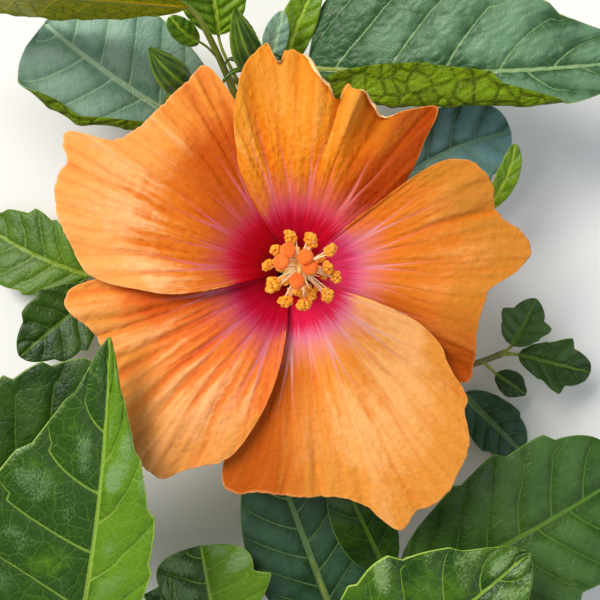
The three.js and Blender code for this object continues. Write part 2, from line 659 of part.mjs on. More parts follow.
// Buds: a closed calyx, pointed at its tip. Its bracts leave the foot close to the bud's
// axis and curl over outwards like claws.
const BUDS = {
  bud_side: {
    base: [-31, 51.5, 40], tip: [-39.5, 61, 54], radius: 4.6, bracts: 6, bractLength: 8,
    limb: "main_stem", at: 0.955, stalk: 0.8,
  },
  bud_tip: {
    base: [-12, 57, 40], tip: [-15.9, 71, 57], radius: 4.3, bracts: 6, bractLength: 11,
    limb: "main_stem", at: 0.975, stalk: 1.0,
  },
};
const BUD_PROFILE = [
  [0, 0], [0.55, 0.03], [0.9, 0.2], [1, 0.4], [0.82, 0.62], [0.42, 0.84], [0.06, 0.98], [0, 1],
];
const CLAW = { half: 1.15, foot: 1.3, first: 20, last: 165 };   // angles from the bud's axis

function addBuds() {
  for (const [name, bud] of Object.entries(BUDS)) {
    const tall = vec(bud.base).distanceTo(vec(bud.tip));
    const profile = BUD_PROFILE.map(([r, h]) => new THREE.Vector2(r * bud.radius, h * tall));
    const body = new THREE.LatheGeometry(profile, 10);
    body.rotateX(Math.PI / 2);
    let whole = toSolid(layAlong(body, bud.base, bud.tip));
    for (let i = 0; i < bud.bracts; i += 1) {
      const turn = ((i + 0.5) / bud.bracts) * 2 * Math.PI;
      const first = radians(CLAW.first);
      const bent = radians(CLAW.last - CLAW.first);
      const bend = bud.bractLength / bent;
      const at = (u, v) => {
        const angle = first + bent * v;
        const out = CLAW.foot + bend * (Math.cos(first) - Math.cos(angle));
        const across = (CLAW.half * (1 - v) ** 0.7 + BRACT_END) * (2 * u - 1);
        const x = out * Math.cos(turn) - across * Math.sin(turn);
        const y = out * Math.sin(turn) + across * Math.cos(turn);
        return new THREE.Vector3(x, y, 0.3 + bend * (Math.sin(angle) - Math.sin(first)));
      };
      const bract = bladeGeometry(at, 1, 4, BRACT_THICK);
      whole = whole.add(toSolid(layAlong(bract, bud.base, bud.tip)));
    }
    const foot = limbs[bud.limb].curve.getPointAt(bud.at);
    const axis = vec(bud.tip).sub(vec(bud.base)).normalize();
    const before = vec(bud.base).addScaledVector(axis, -4);
    const inside = vec(bud.base).addScaledVector(axis, 1);
    const middle = foot.clone().lerp(before, 0.5);
    const stalk = new THREE.CubicBezierCurve3(foot, middle, before, inside);
    whole = whole.add(toSolid(limbGeometry(stalk, () => bud.stalk, 6, 6)));
    addPiece(name, fromSolid(clearOf(whole, [bud.limb])), YOUNG);
  }
}

addLimbs();
addPetals();
addCalyx();
addEpicalyx();
addColumn();
addStyle();
addLeaves();
addBuds();

export default root;
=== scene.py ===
"""Looks of a cut hibiscus branch that lies with its open bloom facing up.

Sizes are in millimetres and places are measured from the axis of the bloom, the way the
branch itself is set out. A finished mesh is moved into the frame and its metres.
"""

import logging
import math
import random
from collections.abc import Callable, Sequence
from dataclasses import dataclass, field
from enum import Enum

import bmesh
import bpy
import numpy as np
from mathutils import Matrix, Vector, noise


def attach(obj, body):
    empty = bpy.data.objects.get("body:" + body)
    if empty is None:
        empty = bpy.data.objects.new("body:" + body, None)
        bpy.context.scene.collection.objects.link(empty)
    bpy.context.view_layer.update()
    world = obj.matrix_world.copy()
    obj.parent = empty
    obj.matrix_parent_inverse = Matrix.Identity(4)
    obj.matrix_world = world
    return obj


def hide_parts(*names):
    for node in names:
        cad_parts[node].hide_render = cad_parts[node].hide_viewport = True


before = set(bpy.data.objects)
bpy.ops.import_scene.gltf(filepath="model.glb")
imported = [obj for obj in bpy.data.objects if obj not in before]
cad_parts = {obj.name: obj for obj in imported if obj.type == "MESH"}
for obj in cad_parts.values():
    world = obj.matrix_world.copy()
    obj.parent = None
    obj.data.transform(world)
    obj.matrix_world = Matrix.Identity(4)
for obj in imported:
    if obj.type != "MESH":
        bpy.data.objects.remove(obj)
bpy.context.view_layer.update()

BODY = "root"
MM = 0.001
BLOOM_AXIS = (-0.5, 23.4)
SEAM = 1e-6
TINY = 1e-9
WALL_WIDTH = 0.5
COLLAR_FADE = 0.04
SKIN_UNIT = 10
KEEL_WIDTH = 0.25
KEEL_DEPTH = 0.12
BRACT_COLUMNS = 8
BRACT_TAPER = 0.7
UP = np.array([0.0, 0.0, 1.0])

Values = np.ndarray
Point = tuple[float, float, float]
Colour = tuple[int, int, int]
Surface = Callable[[Values, Values], Values]
Material = bpy.types.Material
Mesh = bpy.types.Mesh

log = logging.getLogger("hibiscus")


def in_light(colour: "Flow | Colour") -> "Flow | tuple[float, ...]":
    """Turns a screen colour into linear light.

    Args:
        colour: Red, green and blue from 0 to 255, or a flow, which stays as it is.

    Returns:
        Red, green, blue and alpha from 0 to 1, or the flow.
    """
    if isinstance(colour, Flow):
        return colour
    parts = [((c / 255 + 0.055) / 1.055) ** 2.4 if c > 10 else c / 255 / 12.92 for c in colour]
    return (*parts, 1.0)


def smooth(low: float, high: float, x: Values) -> Values:
    """Rises softly from 0 to 1 as x goes from low to high."""
    k = np.clip((x - low) / (high - low), 0, 1)
    return k * k * (3 - 2 * k)


def unit(vectors: Values) -> Values:
    """Scales each row of an n by 3 array to a length of 1."""
    return vectors / np.maximum(np.linalg.norm(vectors, axis=-1, keepdims=True), TINY)


def between(k: Values, ends: tuple[Values, Values], slopes: tuple[Values, Values]) -> Values:
    """Runs smoothly from one value to the next.

    Args:
        k: Share of the way, 0 to 1.
        ends: Values at the start and at the end.
        slopes: Slopes there, over the whole way.

    Returns:
        The value at each share.
    """
    rise = smooth(0, 1, k)
    bow = k * (1 - k) * ((1 - k) * slopes[0] - k * slopes[1])
    return (1 - rise) * ends[0] + rise * ends[1] + bow


def swept(places: Sequence[Values], steps: int) -> Values:
    """A curve from the first of four places to the last, drawn towards the two between.

    Args:
        places: The four places.
        steps: How many places the curve gets.

    Returns:
        Those places, as a steps by 3 array.
    """
    start, first, second, end = places
    k = np.linspace(0, 1, steps)[:, None]
    near = (1 - k) ** 3 * start + 3 * k * (1 - k) ** 2 * first
    return near + 3 * k * k * (1 - k) * second + k**3 * end


def spun(out: Values, across: Values, up: Values, turn: float) -> Values:
    """Places at distances out, across and up, turned about the upright axis, n by 3."""
    x = out * math.cos(turn) - across * math.sin(turn)
    return np.stack([x, out * math.sin(turn) + across * math.cos(turn), up], axis=1)


def settled(block: bmesh.types.BMesh, name: str, soft: bool = True) -> Mesh:
    """Turns a bmesh into a mesh.

    Args:
        block: The bmesh, which is freed.
        name: Name of the new mesh.
        soft: Whether every face is shaded smooth.

    Returns:
        The new mesh.
    """
    mesh = bpy.data.meshes.new(name)
    block.to_mesh(mesh)
    block.free()
    if soft:
        mesh.polygons.foreach_set("use_smooth", [True] * len(mesh.polygons))
    return mesh


def soft_noise(x: Values, y: Values, seed: float) -> Values:
    """Smooth noise in the plane.

    Args:
        x: First coordinates; the noise changes over a distance of about 1.
        y: Second coordinates.
        seed: Picks one plane of the noise.

    Returns:
        Values from about -1 to 1.
    """
    return np.array([noise.noise(Vector((a, b, seed))) for a, b in zip(x, y)])


@dataclass(frozen=True)
class Ripple:
    """A layer of soft noise: its strength, its pace both ways and the shift of its seed."""

    strength: float
    across: float
    along: float
    shift: float


def rippled(x: Values, y: Values, seed: float, layers: Sequence[Ripple]) -> Values:
    """Adds up layers of soft noise.

    Args:
        x: First coordinates.
        y: Second coordinates.
        seed: Seed that each layer shifts.
        layers: The layers.

    Returns:
        The layers' sum at each place.
    """
    total = np.zeros_like(x)
    for layer in layers:
        grain = soft_noise(x * layer.across, y * layer.along, seed + layer.shift)
        total += layer.strength * grain
    return total


def cell_walls(x: Values, y: Values, seed: float) -> Values:
    """How near each place is to the wall between two random cells.

    Args:
        x: First coordinates; a cell is about 1 wide.
        y: Second coordinates.
        seed: Picks one plane of the cells.

    Returns:
        0 on a wall and 1 inside a cell.
    """
    gaps = []
    for a, b in zip(x, y):
        reach = noise.voronoi(Vector((a, b, seed)))[0]
        gaps.append(reach[1] - reach[0])
    return np.clip(np.array(gaps) / WALL_WIDTH, 0, 1)


@dataclass(frozen=True)
class Spline:
    """A smooth curve through (x, y) pairs in rising x."""

    pairs: tuple[tuple[float, float], ...]

    def __call__(self, x: Values) -> Values:
        """Reads the curve.

        Args:
            x: Where it is read; beyond its ends it stays level.

        Returns:
            The curve's y at each x.
        """
        xs, ys = np.array(self.pairs, float).T
        i = np.clip(np.searchsorted(xs, x), 1, len(xs) - 1)
        before, after = np.maximum(0, i - 2), np.minimum(len(xs) - 1, i + 1)
        span = xs[i] - xs[i - 1]
        k = np.clip((x - xs[i - 1]) / span, 0, 1)
        lead = (ys[i] - ys[before]) / (xs[i] - xs[before]) * span
        trail = (ys[after] - ys[i - 1]) / (xs[after] - xs[i - 1]) * span
        return between(k, (ys[i - 1], ys[i]), (lead, trail))


class Path:
    """A smooth curve through points, read by its share of the length."""

    SAMPLES = 40
    OFF_UPRIGHT = (0.01, 0.02, 0)

    def __init__(self, points: Sequence[Sequence[float]]) -> None:
        """Samples the curve through the points closely.

        Args:
            points: The places that the curve passes through, in millimetres.
        """
        knots = np.array(points, float)
        ends = [2 * knots[0] - knots[1], *knots, 2 * knots[-1] - knots[-2]]
        spans = [self._span(*ends[i : i + 4]) for i in range(len(knots) - 1)]
        self.places = np.vstack([*spans, knots[-1:]])
        steps = np.linalg.norm(np.diff(self.places, axis=0), axis=1)
        self.length = float(steps.sum())
        self.shares = np.concatenate([[0], np.cumsum(steps)]) / self.length

    def _span(self, p0: Values, p1: Values, p2: Values, p3: Values) -> Values:
        """Samples the stretch from p1 to p2 of a centripetal curve.

        Args:
            p0: The point before the stretch.
            p1: Its first point.
            p2: Its last point.
            p3: The point after it.

        Returns:
            Places from p1 up to but not at p2, as an n by 3 array.
        """
        pairs = ((p0, p1), (p1, p2), (p2, p3))
        d0, d1, d2 = (math.sqrt(np.linalg.norm(b - a)) or 1.0 for a, b in pairs)
        m1 = ((p1 - p0) / d0 - (p2 - p0) / (d0 + d1) + (p2 - p1) / d1) * d1
        m2 = ((p2 - p1) / d1 - (p3 - p1) / (d1 + d2) + (p3 - p2) / d2) * d1
        t = np.arange(self.SAMPLES)[:, None] / self.SAMPLES
        return between(t, (p1, p2), (m1, m2))

    def at(self, share: Values) -> Values:
        """The places at shares of the length, as an n by 3 array."""
        share = np.atleast_1d(share)
        return np.stack([np.interp(share, self.shares, self.places[:, i]) for i in range(3)], axis=1)

    def frames(self, share: Values) -> tuple[Values, Values]:
        """Two directions square to the curve that turn with it as little as possible.

        Args:
            share: Shares of the length, in any order.

        Returns:
            The first and second direction at each share, as n by 3 arrays.
        """
        along = unit(np.gradient(self.places, axis=0))
        side = [unit(np.cross(along[0], UP + self.OFF_UPRIGHT))]
        for direction in along[1:]:
            last = side[-1] - direction * np.dot(side[-1], direction)
            side.append(unit(last))
        first = np.array(side)
        second = np.cross(along, first)
        read = [
            unit(np.stack([np.interp(share, self.shares, block[:, i]) for i in range(3)], axis=1))
            for block in (first, second)
        ]
        return read[0], read[1]


@dataclass
class Sheet:
    """A grid that is bent onto a surface, with a fine relief along its normals.

    A wrapped sheet closes on itself in its first direction, as a limb or a cup does.
    """

    columns: int
    rows: int
    surface: Surface
    relief: Surface | None = None
    wrapped: bool = False
    capped: bool = False
    maps: dict[str, Callable[[Values, Values, Values], tuple[Values, Values]]] = field(default_factory=dict)
    shades: dict[str, Surface] = field(default_factory=dict)

    STEP = 1e-3

    def mesh(self, name: str) -> Mesh:
        """Makes the bent grid.

        Args:
            name: Name of the new mesh.

        Returns:
            The mesh, in metres and in the frame's place.
        """
        grid = bmesh.new()
        bmesh.ops.create_grid(grid, x_segments=self.columns, y_segments=self.rows, size=0.5)
        mesh = settled(grid, name)
        flat = np.empty(len(mesh.vertices) * 3)
        mesh.vertices.foreach_get("co", flat)
        u, v = np.clip(flat.reshape(-1, 3)[:, :2].T + 0.5, 0, 1)
        places = self._bend(u, v)
        places[:, :2] += BLOOM_AXIS
        mesh.vertices.foreach_set("co", (places * MM).ravel())
        self._draw_maps(mesh, u, v)
        for label, shade in self.shades.items():
            mesh.attributes.new(label, "FLOAT", "POINT").data.foreach_set("value", shade(u, v))
        mesh.update()
        if self.wrapped:
            self._close(mesh)
        return mesh

    def _bend(self, u: Values, v: Values) -> Values:
        """Bends the grid's vertices onto the surface.

        Args:
            u: Shares of the way across.
            v: Shares of the way ahead.

        Returns:
            Their places, relief included, as an n by 3 array.
        """
        places = self.surface(u, v)
        if self.relief is None:
            return places
        low, high = u - self.STEP, u + self.STEP
        if not self.wrapped:
            low, high = np.maximum(low, 0), np.minimum(high, 1)
        across = self.surface(high, v) - self.surface(low, v)
        before, after = np.maximum(v - self.STEP, 0), np.minimum(v + self.STEP, 1)
        ahead = self.surface(u, after) - self.surface(u, before)
        return places + unit(np.cross(across, ahead)) * self.relief(u, v)[:, None]

    def _draw_maps(self, mesh: Mesh, u: Values, v: Values) -> None:
        """Writes each pattern's coordinates as a UV map, face by face.

        Args:
            mesh: The bent grid, all of four-sided faces.
            u: Each vertex's share of the way across.
            v: Its share of the way ahead.
        """
        corners = np.empty(len(mesh.loops), dtype=np.int32)
        mesh.loops.foreach_get("vertex_index", corners)
        middle = np.repeat(u[corners].reshape(-1, 4).mean(axis=1), 4)
        for label, pattern in self.maps.items():
            layer = mesh.uv_layers.new(name=label)
            spread = np.stack(pattern(u[corners], v[corners], middle), axis=1)
            layer.data.foreach_set("uv", spread.ravel())

    def _close(self, mesh: Mesh) -> None:
        """Joins the seam of a wrapped sheet and, where wanted, caps its ends.

        Args:
            mesh: The bent grid, which is changed.
        """
        shell = bmesh.new()
        shell.from_mesh(mesh)
        bmesh.ops.remove_doubles(shell, verts=shell.verts, dist=SEAM)
        if self.capped:
            rims = [edge for edge in shell.edges if edge.is_boundary]
            caps = bmesh.ops.holes_fill(shell, edges=rims, sides=0)["faces"]
            for cap in caps:
                cap.smooth = False
        shell.to_mesh(mesh)
        shell.free()


def from_axis(bench: "Bench") -> "Flow":
    """Distance from the bloom's axis in plan, in millimetres."""
    east, north = (way - axis * MM for way, axis in zip(bench.split(bench.place()), BLOOM_AXIS))
    return (east * east + north * north) ** 0.5 * (1 / MM)


def limb_sheet(
    path: Path,
    radius: Callable[[Values], Values],
    sides: int,
    steps: int,
    relief: Surface | None = None,
    capped: bool = True,
) -> Sheet:
    """A round limb along a path.

    Args:
        path: The limb's middle line.
        radius: Radius at shares of the length.
        sides: Faces round the limb.
        steps: Faces along it.
        relief: Height over the round surface, by turn and share.
        capped: Whether open ends are closed with a flat face.

    Returns:
        The wrapped sheet, with a map named Skin of its girth and length.
    """

    def surface(u: Values, v: Values) -> Values:
        """Places round the path, by turn and share of its length.

        Args:
            u: Shares of a full turn.
            v: Shares of the length.

        Returns:
            The places, as an n by 3 array.
        """
        first, second = path.frames(v)
        turn = (u * 2 * math.pi)[:, None]
        return path.at(v) + (first * np.cos(turn) + second * np.sin(turn)) * radius(v)[:, None]

    girth = 2 * math.pi * float(np.max(radius(np.linspace(0, 1, 9))))
    return Sheet(
        sides,
        steps,
        surface,
        relief,
        wrapped=True,
        capped=capped,
        maps={"Skin": lambda u, v, _: (u * girth / SKIN_UNIT, v * path.length / SKIN_UNIT)},
    )


def joined(meshes: Sequence[Mesh], name: str) -> Mesh:
    """Joins meshes into one and removes the loose ones.

    Args:
        meshes: The meshes, in the frame's place.
        name: Name of the joined mesh.

    Returns:
        The joined mesh, shaded smooth as its pieces were.
    """
    block = bmesh.new()
    for mesh in meshes:
        block.from_mesh(mesh)
    whole = settled(block, name, soft=False)
    for mesh in meshes:
        bpy.data.meshes.remove(mesh)
    return whole


def show(
    mesh: Mesh,
    finishes: Sequence[Material],
    replaces: Sequence[str],
    thickness: float = 0.0,
) -> bpy.types.Object:
    """Puts a mesh on the branch as a finished piece.

    Args:
        mesh: The piece's mesh, in the frame's place; it names the piece.
        finishes: Materials: the front or only one, then the back of a thin blade.
        replaces: The solids that the piece stands for.
        thickness: Thickness in millimetres given to an open blade, or 0.

    Returns:
        The new piece.
    """
    piece = bpy.data.objects.new(mesh.name, mesh)
    bpy.context.scene.collection.objects.link(piece)
    for finish in finishes:
        mesh.materials.append(finish)
    if thickness:
        wall = piece.modifiers.new("Wall", "SOLIDIFY")
        wall.thickness = thickness * MM
        wall.offset = 0
        wall.material_offset = len(finishes) - 1
        wall.material_offset_rim = 0
    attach(piece, BODY)
    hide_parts(*replaces)
    log.info("%s: %d faces", piece.name, len(mesh.polygons))
    return piece


class Slot(Enum):
    """The record's material slots."""

    PETAL = "petal"
    POLLEN = "pollen"
    STIGMA = "stigma"
    GREEN_LEAF = "green_leaf"
    BLUE_LEAF = "blue_green_leaf"
    YOUNG = "young_green"
    TWIG = "green_twig"
    BARK = "bark"


def maths(operation: str, swapped: bool = False) -> Callable[["Flow", "Flow | float"], "Flow"]:
    """An operator that adds a Math node.

    Args:
        operation: What the node works out.
        swapped: Whether the other value comes first.

    Returns:
        The operator, as a method.
    """

    def operator(self: "Flow", other: "Flow | float") -> "Flow":
        """Works on this value and another."""
        return self._math(operation, *((other, self) if swapped else (self, other)))

    return operator


class Flow:
    """A shader value that Python's arithmetic works on."""

    def __init__(self, bench: "Bench", socket: bpy.types.NodeSocket) -> None:
        """Holds the output socket of a node on the bench."""
        self.bench = bench
        self.socket = socket

    def _math(self, operation: str, *values: "Flow | float") -> "Flow":
        """Adds a Math node that works on the values."""
        inputs = dict(enumerate(values))
        return self.bench.flow("ShaderNodeMath", {"operation": operation}, inputs)

    def __abs__(self) -> "Flow":
        """The value without its sign."""
        return self._math("ABSOLUTE", self)

    def rise(self, low: float, high: float) -> "Flow":
        """Soft step from 0 at low to 1 at high."""
        settings = {"interpolation_type": "SMOOTHSTEP"}
        return self.bench.flow("ShaderNodeMapRange", settings, {0: self, 1: low, 2: high})

    __add__ = __radd__ = maths("ADD")
    __mul__ = __rmul__ = maths("MULTIPLY")
    __sub__ = maths("SUBTRACT")
    __rsub__ = maths("SUBTRACT", swapped=True)
    __truediv__ = maths("DIVIDE")
    __mod__ = maths("FLOORED_MODULO")
    __pow__ = maths("POWER")


class Bench:
    """A material and its node tree, with one way to add any node."""

    COAT_ROUGHNESS = 0.25

    def __init__(self, name: str) -> None:
        """Starts an empty material.

        Args:
            name: Name of the material.
        """
        self.material = bpy.data.materials.new(name)
        self.material.use_nodes = True
        self.tree = self.material.node_tree
        self.tree.nodes.clear()

    def node(self, kind: str, settings: dict | None = None, inputs: dict | None = None) -> bpy.types.Node:
        """Adds a node.

        Args:
            kind: The node's type.
            settings: Its properties, which are set first.
            inputs: Values or flows for its input sockets, by name or number.

        Returns:
            The new node.
        """
        made = self.tree.nodes.new(kind)
        for key, value in (settings or {}).items():
            setattr(made, key, value)
        for key, value in (inputs or {}).items():
            if isinstance(value, Flow):
                self.tree.links.new(value.socket, made.inputs[key])
            else:
                made.inputs[key].default_value = value
        return made

    def flow(
        self, kind: str, settings: dict | None = None, inputs: dict | None = None, out: int = 0
    ) -> Flow:
        """Adds a node and gives one of its outputs, the first unless told."""
        return Flow(self, self.node(kind, settings, inputs).outputs[out])

    def place(self) -> Flow:
        """Coordinates of the piece in the frame, in metres."""
        return self.flow("ShaderNodeTexCoord", out=3)

    def uv(self, label: str) -> Flow:
        """One of the piece's own UV maps, as a vector."""
        return self.flow("ShaderNodeUVMap", {"uv_map": label})

    def split(self, vector: Flow) -> tuple[Flow, Flow, Flow]:
        """The three numbers of a vector."""
        parts = self.node("ShaderNodeSeparateXYZ", None, {0: vector}).outputs
        return Flow(self, parts[0]), Flow(self, parts[1]), Flow(self, parts[2])

    def shade(self, label: str) -> Flow:
        """A number that the mesh holds at its points."""
        return self.flow("ShaderNodeAttribute", {"attribute_name": label}, out=2)

    def stretch(self, vector: Flow, scale: Point) -> Flow:
        """Scales a vector along each axis."""
        return self.flow("ShaderNodeMapping", None, {0: vector, "Scale": scale})

    def grain(self, vector: Flow, scale: float, detail: float = 2.0) -> Flow:
        """Soft noise around 0.5 on a vector."""
        inputs = {"Vector": vector, "Scale": scale, "Detail": detail}
        return self.flow("ShaderNodeTexNoise", None, inputs)

    def swayed(self, vector: Flow, scale: float, amount: float) -> Flow:
        """Pushes a vector about with soft noise, so that a pattern on it runs less evenly.

        Args:
            vector: The vector.
            scale: How fine the noise is.
            amount: How far it pushes.

        Returns:
            The pushed vector.
        """
        inputs = {"Vector": vector, "Scale": scale, "Detail": 1.0}
        push = self.flow("ShaderNodeTexNoise", None, inputs, out=1)
        steps = {0: push, 1: (amount, amount, amount), 2: vector}
        return self.flow("ShaderNodeVectorMath", {"operation": "MULTIPLY_ADD"}, steps)

    def walls(self, vector: Flow, scale: float) -> Flow:
        """Distance to the walls between random cells in the plane of a vector."""
        settings = {"feature": "DISTANCE_TO_EDGE", "voronoi_dimensions": "2D"}
        return self.flow("ShaderNodeTexVoronoi", settings, {"Vector": vector, "Scale": scale})

    def mix(self, share: Flow | float, first: Flow | Colour, second: Flow | Colour) -> Flow:
        """Mixes two colours; at a share of 1 only the second is left."""
        inputs = {0: share, 6: in_light(first), 7: in_light(second)}
        return self.flow("ShaderNodeMix", {"data_type": "RGBA"}, inputs, out=2)

    def finish(
        self,
        colour: Flow | Colour,
        roughness: Flow | float,
        height: Flow | None = None,
        depth: float = 0.1,
        shine: float = 0.5,
        coat: float = 0.0,
    ) -> Material:
        """Closes the material.

        Args:
            colour: Its base colour.
            roughness: Its roughness.
            height: Relief that is too fine for the mesh, from 0 to 1.
            depth: Depth of that relief in millimetres.
            shine: How strongly the surface itself reflects.
            coat: Weight of a clear waxy coat.

        Returns:
            The finished material.
        """
        inputs = {"Base Color": in_light(colour), "Roughness": roughness, "Specular IOR Level": shine}
        if coat:
            inputs |= {"Coat Weight": coat, "Coat Roughness": self.COAT_ROUGHNESS}
        if height is not None:
            inputs["Normal"] = self.flow("ShaderNodeBump", None, {"Distance": depth * MM, "Height": height})
        shader = self.flow("ShaderNodeBsdfPrincipled", None, inputs)
        self.node("ShaderNodeOutputMaterial", None, {"Surface": shader})
        return self.material


@dataclass(frozen=True)
class PetalVeins:
    """How a petal's veins fan out and fork, alike in relief and in colour."""

    mains: int = 7
    first_fork: tuple[float, float] = (0.24, 0.62)
    second_fork: tuple[float, float] = (0.5, 1.05)

    def nearness(self, fan: "Values | Flow", reach: "Values | Flow") -> "Values | Flow":
        """Distance to the nearest vein.

        Args:
            fan: Place across the petal, 0 to 1.
            reach: Place from claw to margin, 0 to 1.

        Returns:
            The distance as a share of the room between two main veins.
        """
        distance = abs((fan * self.mains) % 1.0 - 0.5)
        for (start, end), most in ((self.first_fork, 0.25), (self.second_fork, 0.125)):
            over = (reach - start) * (most / (end - start))
            opened = (over + abs(over)) * 0.5
            spread = (opened + most - abs(opened - most)) * 0.5
            distance = abs(distance - spread)
        return distance


@dataclass(frozen=True)
class ThroatTones:
    """Colours of a petal's throat, from the crimson outwards, and of its veins."""

    crimson: Colour
    rose: Colour
    blush: Colour
    vein: Colour


@dataclass(frozen=True)
class PetalFinish:
    """Colours of one petal's upper face.

    deep lies round the throat and in the valleys, pale on the ridges, tip at the margin
    and shaded on the side that the next petal covers; the deep valleys and pale ridges are
    painted shade and painted highlight on the folds, and shaded is painted shade. Where
    shade_fades is 1, the shaded side grows light again towards the margin. lean makes the
    petal paler towards its covering edge, a painted light on the side that lies uppermost,
    and a petal-wide lift in tone, painted light too, is raised on the petals that turn away
    from the key lamp. crinkle is how strongly its fine crepe shows, in relief and as painted
    light and shade in the colour.
    """

    name: str
    deep: Colour
    middle: Colour
    pale: Colour
    tip: Colour
    shaded: Colour
    throat: ThroatTones
    lean: float = 0.0
    crinkle: float = 0.3
    shade_fades: float = 0.0
    shade_start: float = 0.62
    lightening: float = 0.1
    veins: PetalVeins = PetalVeins()
    dark_throat: Colour = (132, 0, 8)

    def build(self) -> Material:
        """Makes the material.

        Returns:
            The finished material.
        """
        bench = Bench(self.name)
        chart = bench.uv("Fan")
        fan, reach, _ = bench.split(chart)
        out = from_axis(bench)
        mottle = bench.grain(bench.place(), 300, 4.0)
        streaks = bench.grain(bench.stretch(chart, (44, 3.5, 1)), 1.0, 4.0)
        lines = bench.grain(bench.stretch(chart, (84, 15, 1)), 1.0, 3.0)
        crepe = bench.grain(bench.place(), 620, 3.0)
        colour = self._limb(bench, (fan, reach, out), (mottle, streaks, lines, crepe))
        colour = self._veined(bench, (fan, reach, out), mottle, colour)
        colour = self._throat(bench, (fan, reach, out), streaks, colour)
        height = (crepe * (1 + self.crinkle) + lines * 0.7) * reach.rise(0.15, 0.55)
        return bench.finish(colour, 0.6 + mottle * 0.12, height, 0.3, shine=0.05)

    def _limb(self, bench: Bench, chart: tuple[Flow, ...], grains: tuple[Flow, ...]) -> Flow:
        """The orange of the open part: folds, fine lines, rim and the covered side.

        Args:
            bench: The petal's bench.
            chart: Place across, share of the way out and millimetres from the axis.
            grains: Mottling, streaks, fine lines and crepe.

        Returns:
            The colour.
        """
        fan, reach, out = chart
        mottle, streaks, lines, crepe = grains
        # The folds' heights lighten the ridges and darken the valleys, a painted light and shade, over
        # random streaks, fine lines and mottle; the crepe's colour is painted light and shade on its bumps.
        tone = bench.shade("fold") * 0.34 + (streaks - 0.5) * 0.6 + (lines - 0.5) * 0.4
        tone = tone + (mottle - 0.5) * 0.3 + (crepe - 0.5) * self.crinkle
        # Paler towards the covering edge and lighter by the petal-wide lift in tone: painted light.
        tone = tone + (out - 22) * 0.027 + (fan - 0.5) * self.lean + self.lightening
        colour = bench.mix(tone.rise(0.0, 0.62), self.deep, self.middle)
        colour = bench.mix(tone.rise(0.5, 1.1), colour, self.pale)
        rim = bench.shade("rim")
        near_rim = (rim * reach.rise(0.5, 0.7) + (mottle - 0.5) * 0.4).rise(0.58, 0.92)
        colour = bench.mix(near_rim * 0.8, colour, self.tip)
        # Painted highlight on the pleats' ridges and painted shade in their valleys, broken by the streaks
        # and fine lines.
        pleat_shading = bench.shade("fold") * 0.5 + (lines - 0.5) * 0.7 + (streaks - 0.5) * 0.5
        colour = bench.mix((pleat_shading * reach).rise(0.1, 0.7) * 0.6, colour, self.pale)
        colour = bench.mix((0 - pleat_shading * reach).rise(0.05, 0.7) * 0.5, colour, self.deep)
        # Painted shade on the side that the next petal covers, which fades towards the margin on some
        # petals.
        covered_shade = (1 - fan + (streaks - 0.5) * 0.2).rise(self.shade_start, self.shade_start + 0.22)
        covered_shade = covered_shade * (1 - out.rise(38, 50) * self.shade_fades)
        colour = bench.mix(covered_shade * 0.9, colour, self.shaded)
        return bench.mix(rim.rise(0.984, 1.0) * out.rise(26, 40) * 0.6, colour, self.pale)

    def _veined(self, bench: Bench, chart: tuple[Flow, ...], mottle: Flow, colour: Flow) -> Flow:
        """The pale pink veins that run out of the throat and fade.

        Args:
            bench: The petal's bench.
            chart: Place across, share of the way out and millimetres from the axis.
            mottle: Soft noise that breaks their ends.
            colour: The colour under them.

        Returns:
            The colour with the veins.
        """
        fan, reach, out = chart
        vein = self.veins.nearness(fan, reach)
        colour = bench.mix((1 - vein.rise(0.01, 0.06)) * 0.16, colour, self.deep)
        beside = bench.stretch(bench.uv("Fan"), (float(self.veins.mains), 0.6, 1))
        luck = bench.grain(beside, 1.0, 0.0)
        width = (1 - reach.rise(0.08, 0.6)) * (luck * 0.22)
        line = 1 - (vein - width).rise(-0.04, 0.05)
        length = out + (mottle - 0.5) * 5 - (luck - 0.5) * 36
        return bench.mix(line * (1 - length.rise(20, 42)) * 0.85, colour, self.throat.vein)

    def _throat(self, bench: Bench, chart: tuple[Flow, ...], streaks: Flow, colour: Flow) -> Flow:
        """The crimson throat and its pink rim, which stops short at the covering edge.

        Args:
            bench: The petal's bench.
            chart: Place across, share of the way out and millimetres from the axis.
            streaks: Noise that frays the throat's edge.
            colour: The colour round it.

        Returns:
            The colour with the throat.
        """
        fan, _, out = chart
        haze = out + (streaks - 0.5) * 9
        bare = 1 - fan.rise(0.76, 0.97)
        blush = (1 - haze.rise(18.5, 28.5)) * bare
        colour = bench.mix(blush * 0.6, colour, self.throat.blush)
        rose = 1 - (haze + (1 - bare) * 2.5).rise(16.5, 22)
        colour = bench.mix(rose, colour, self.throat.rose)
        colour = bench.mix(1 - (haze + (1 - bare) * 1.5).rise(14, 19), colour, self.throat.crimson)
        return bench.mix(1 - haze.rise(6.0, 12.5), colour, self.dark_throat)


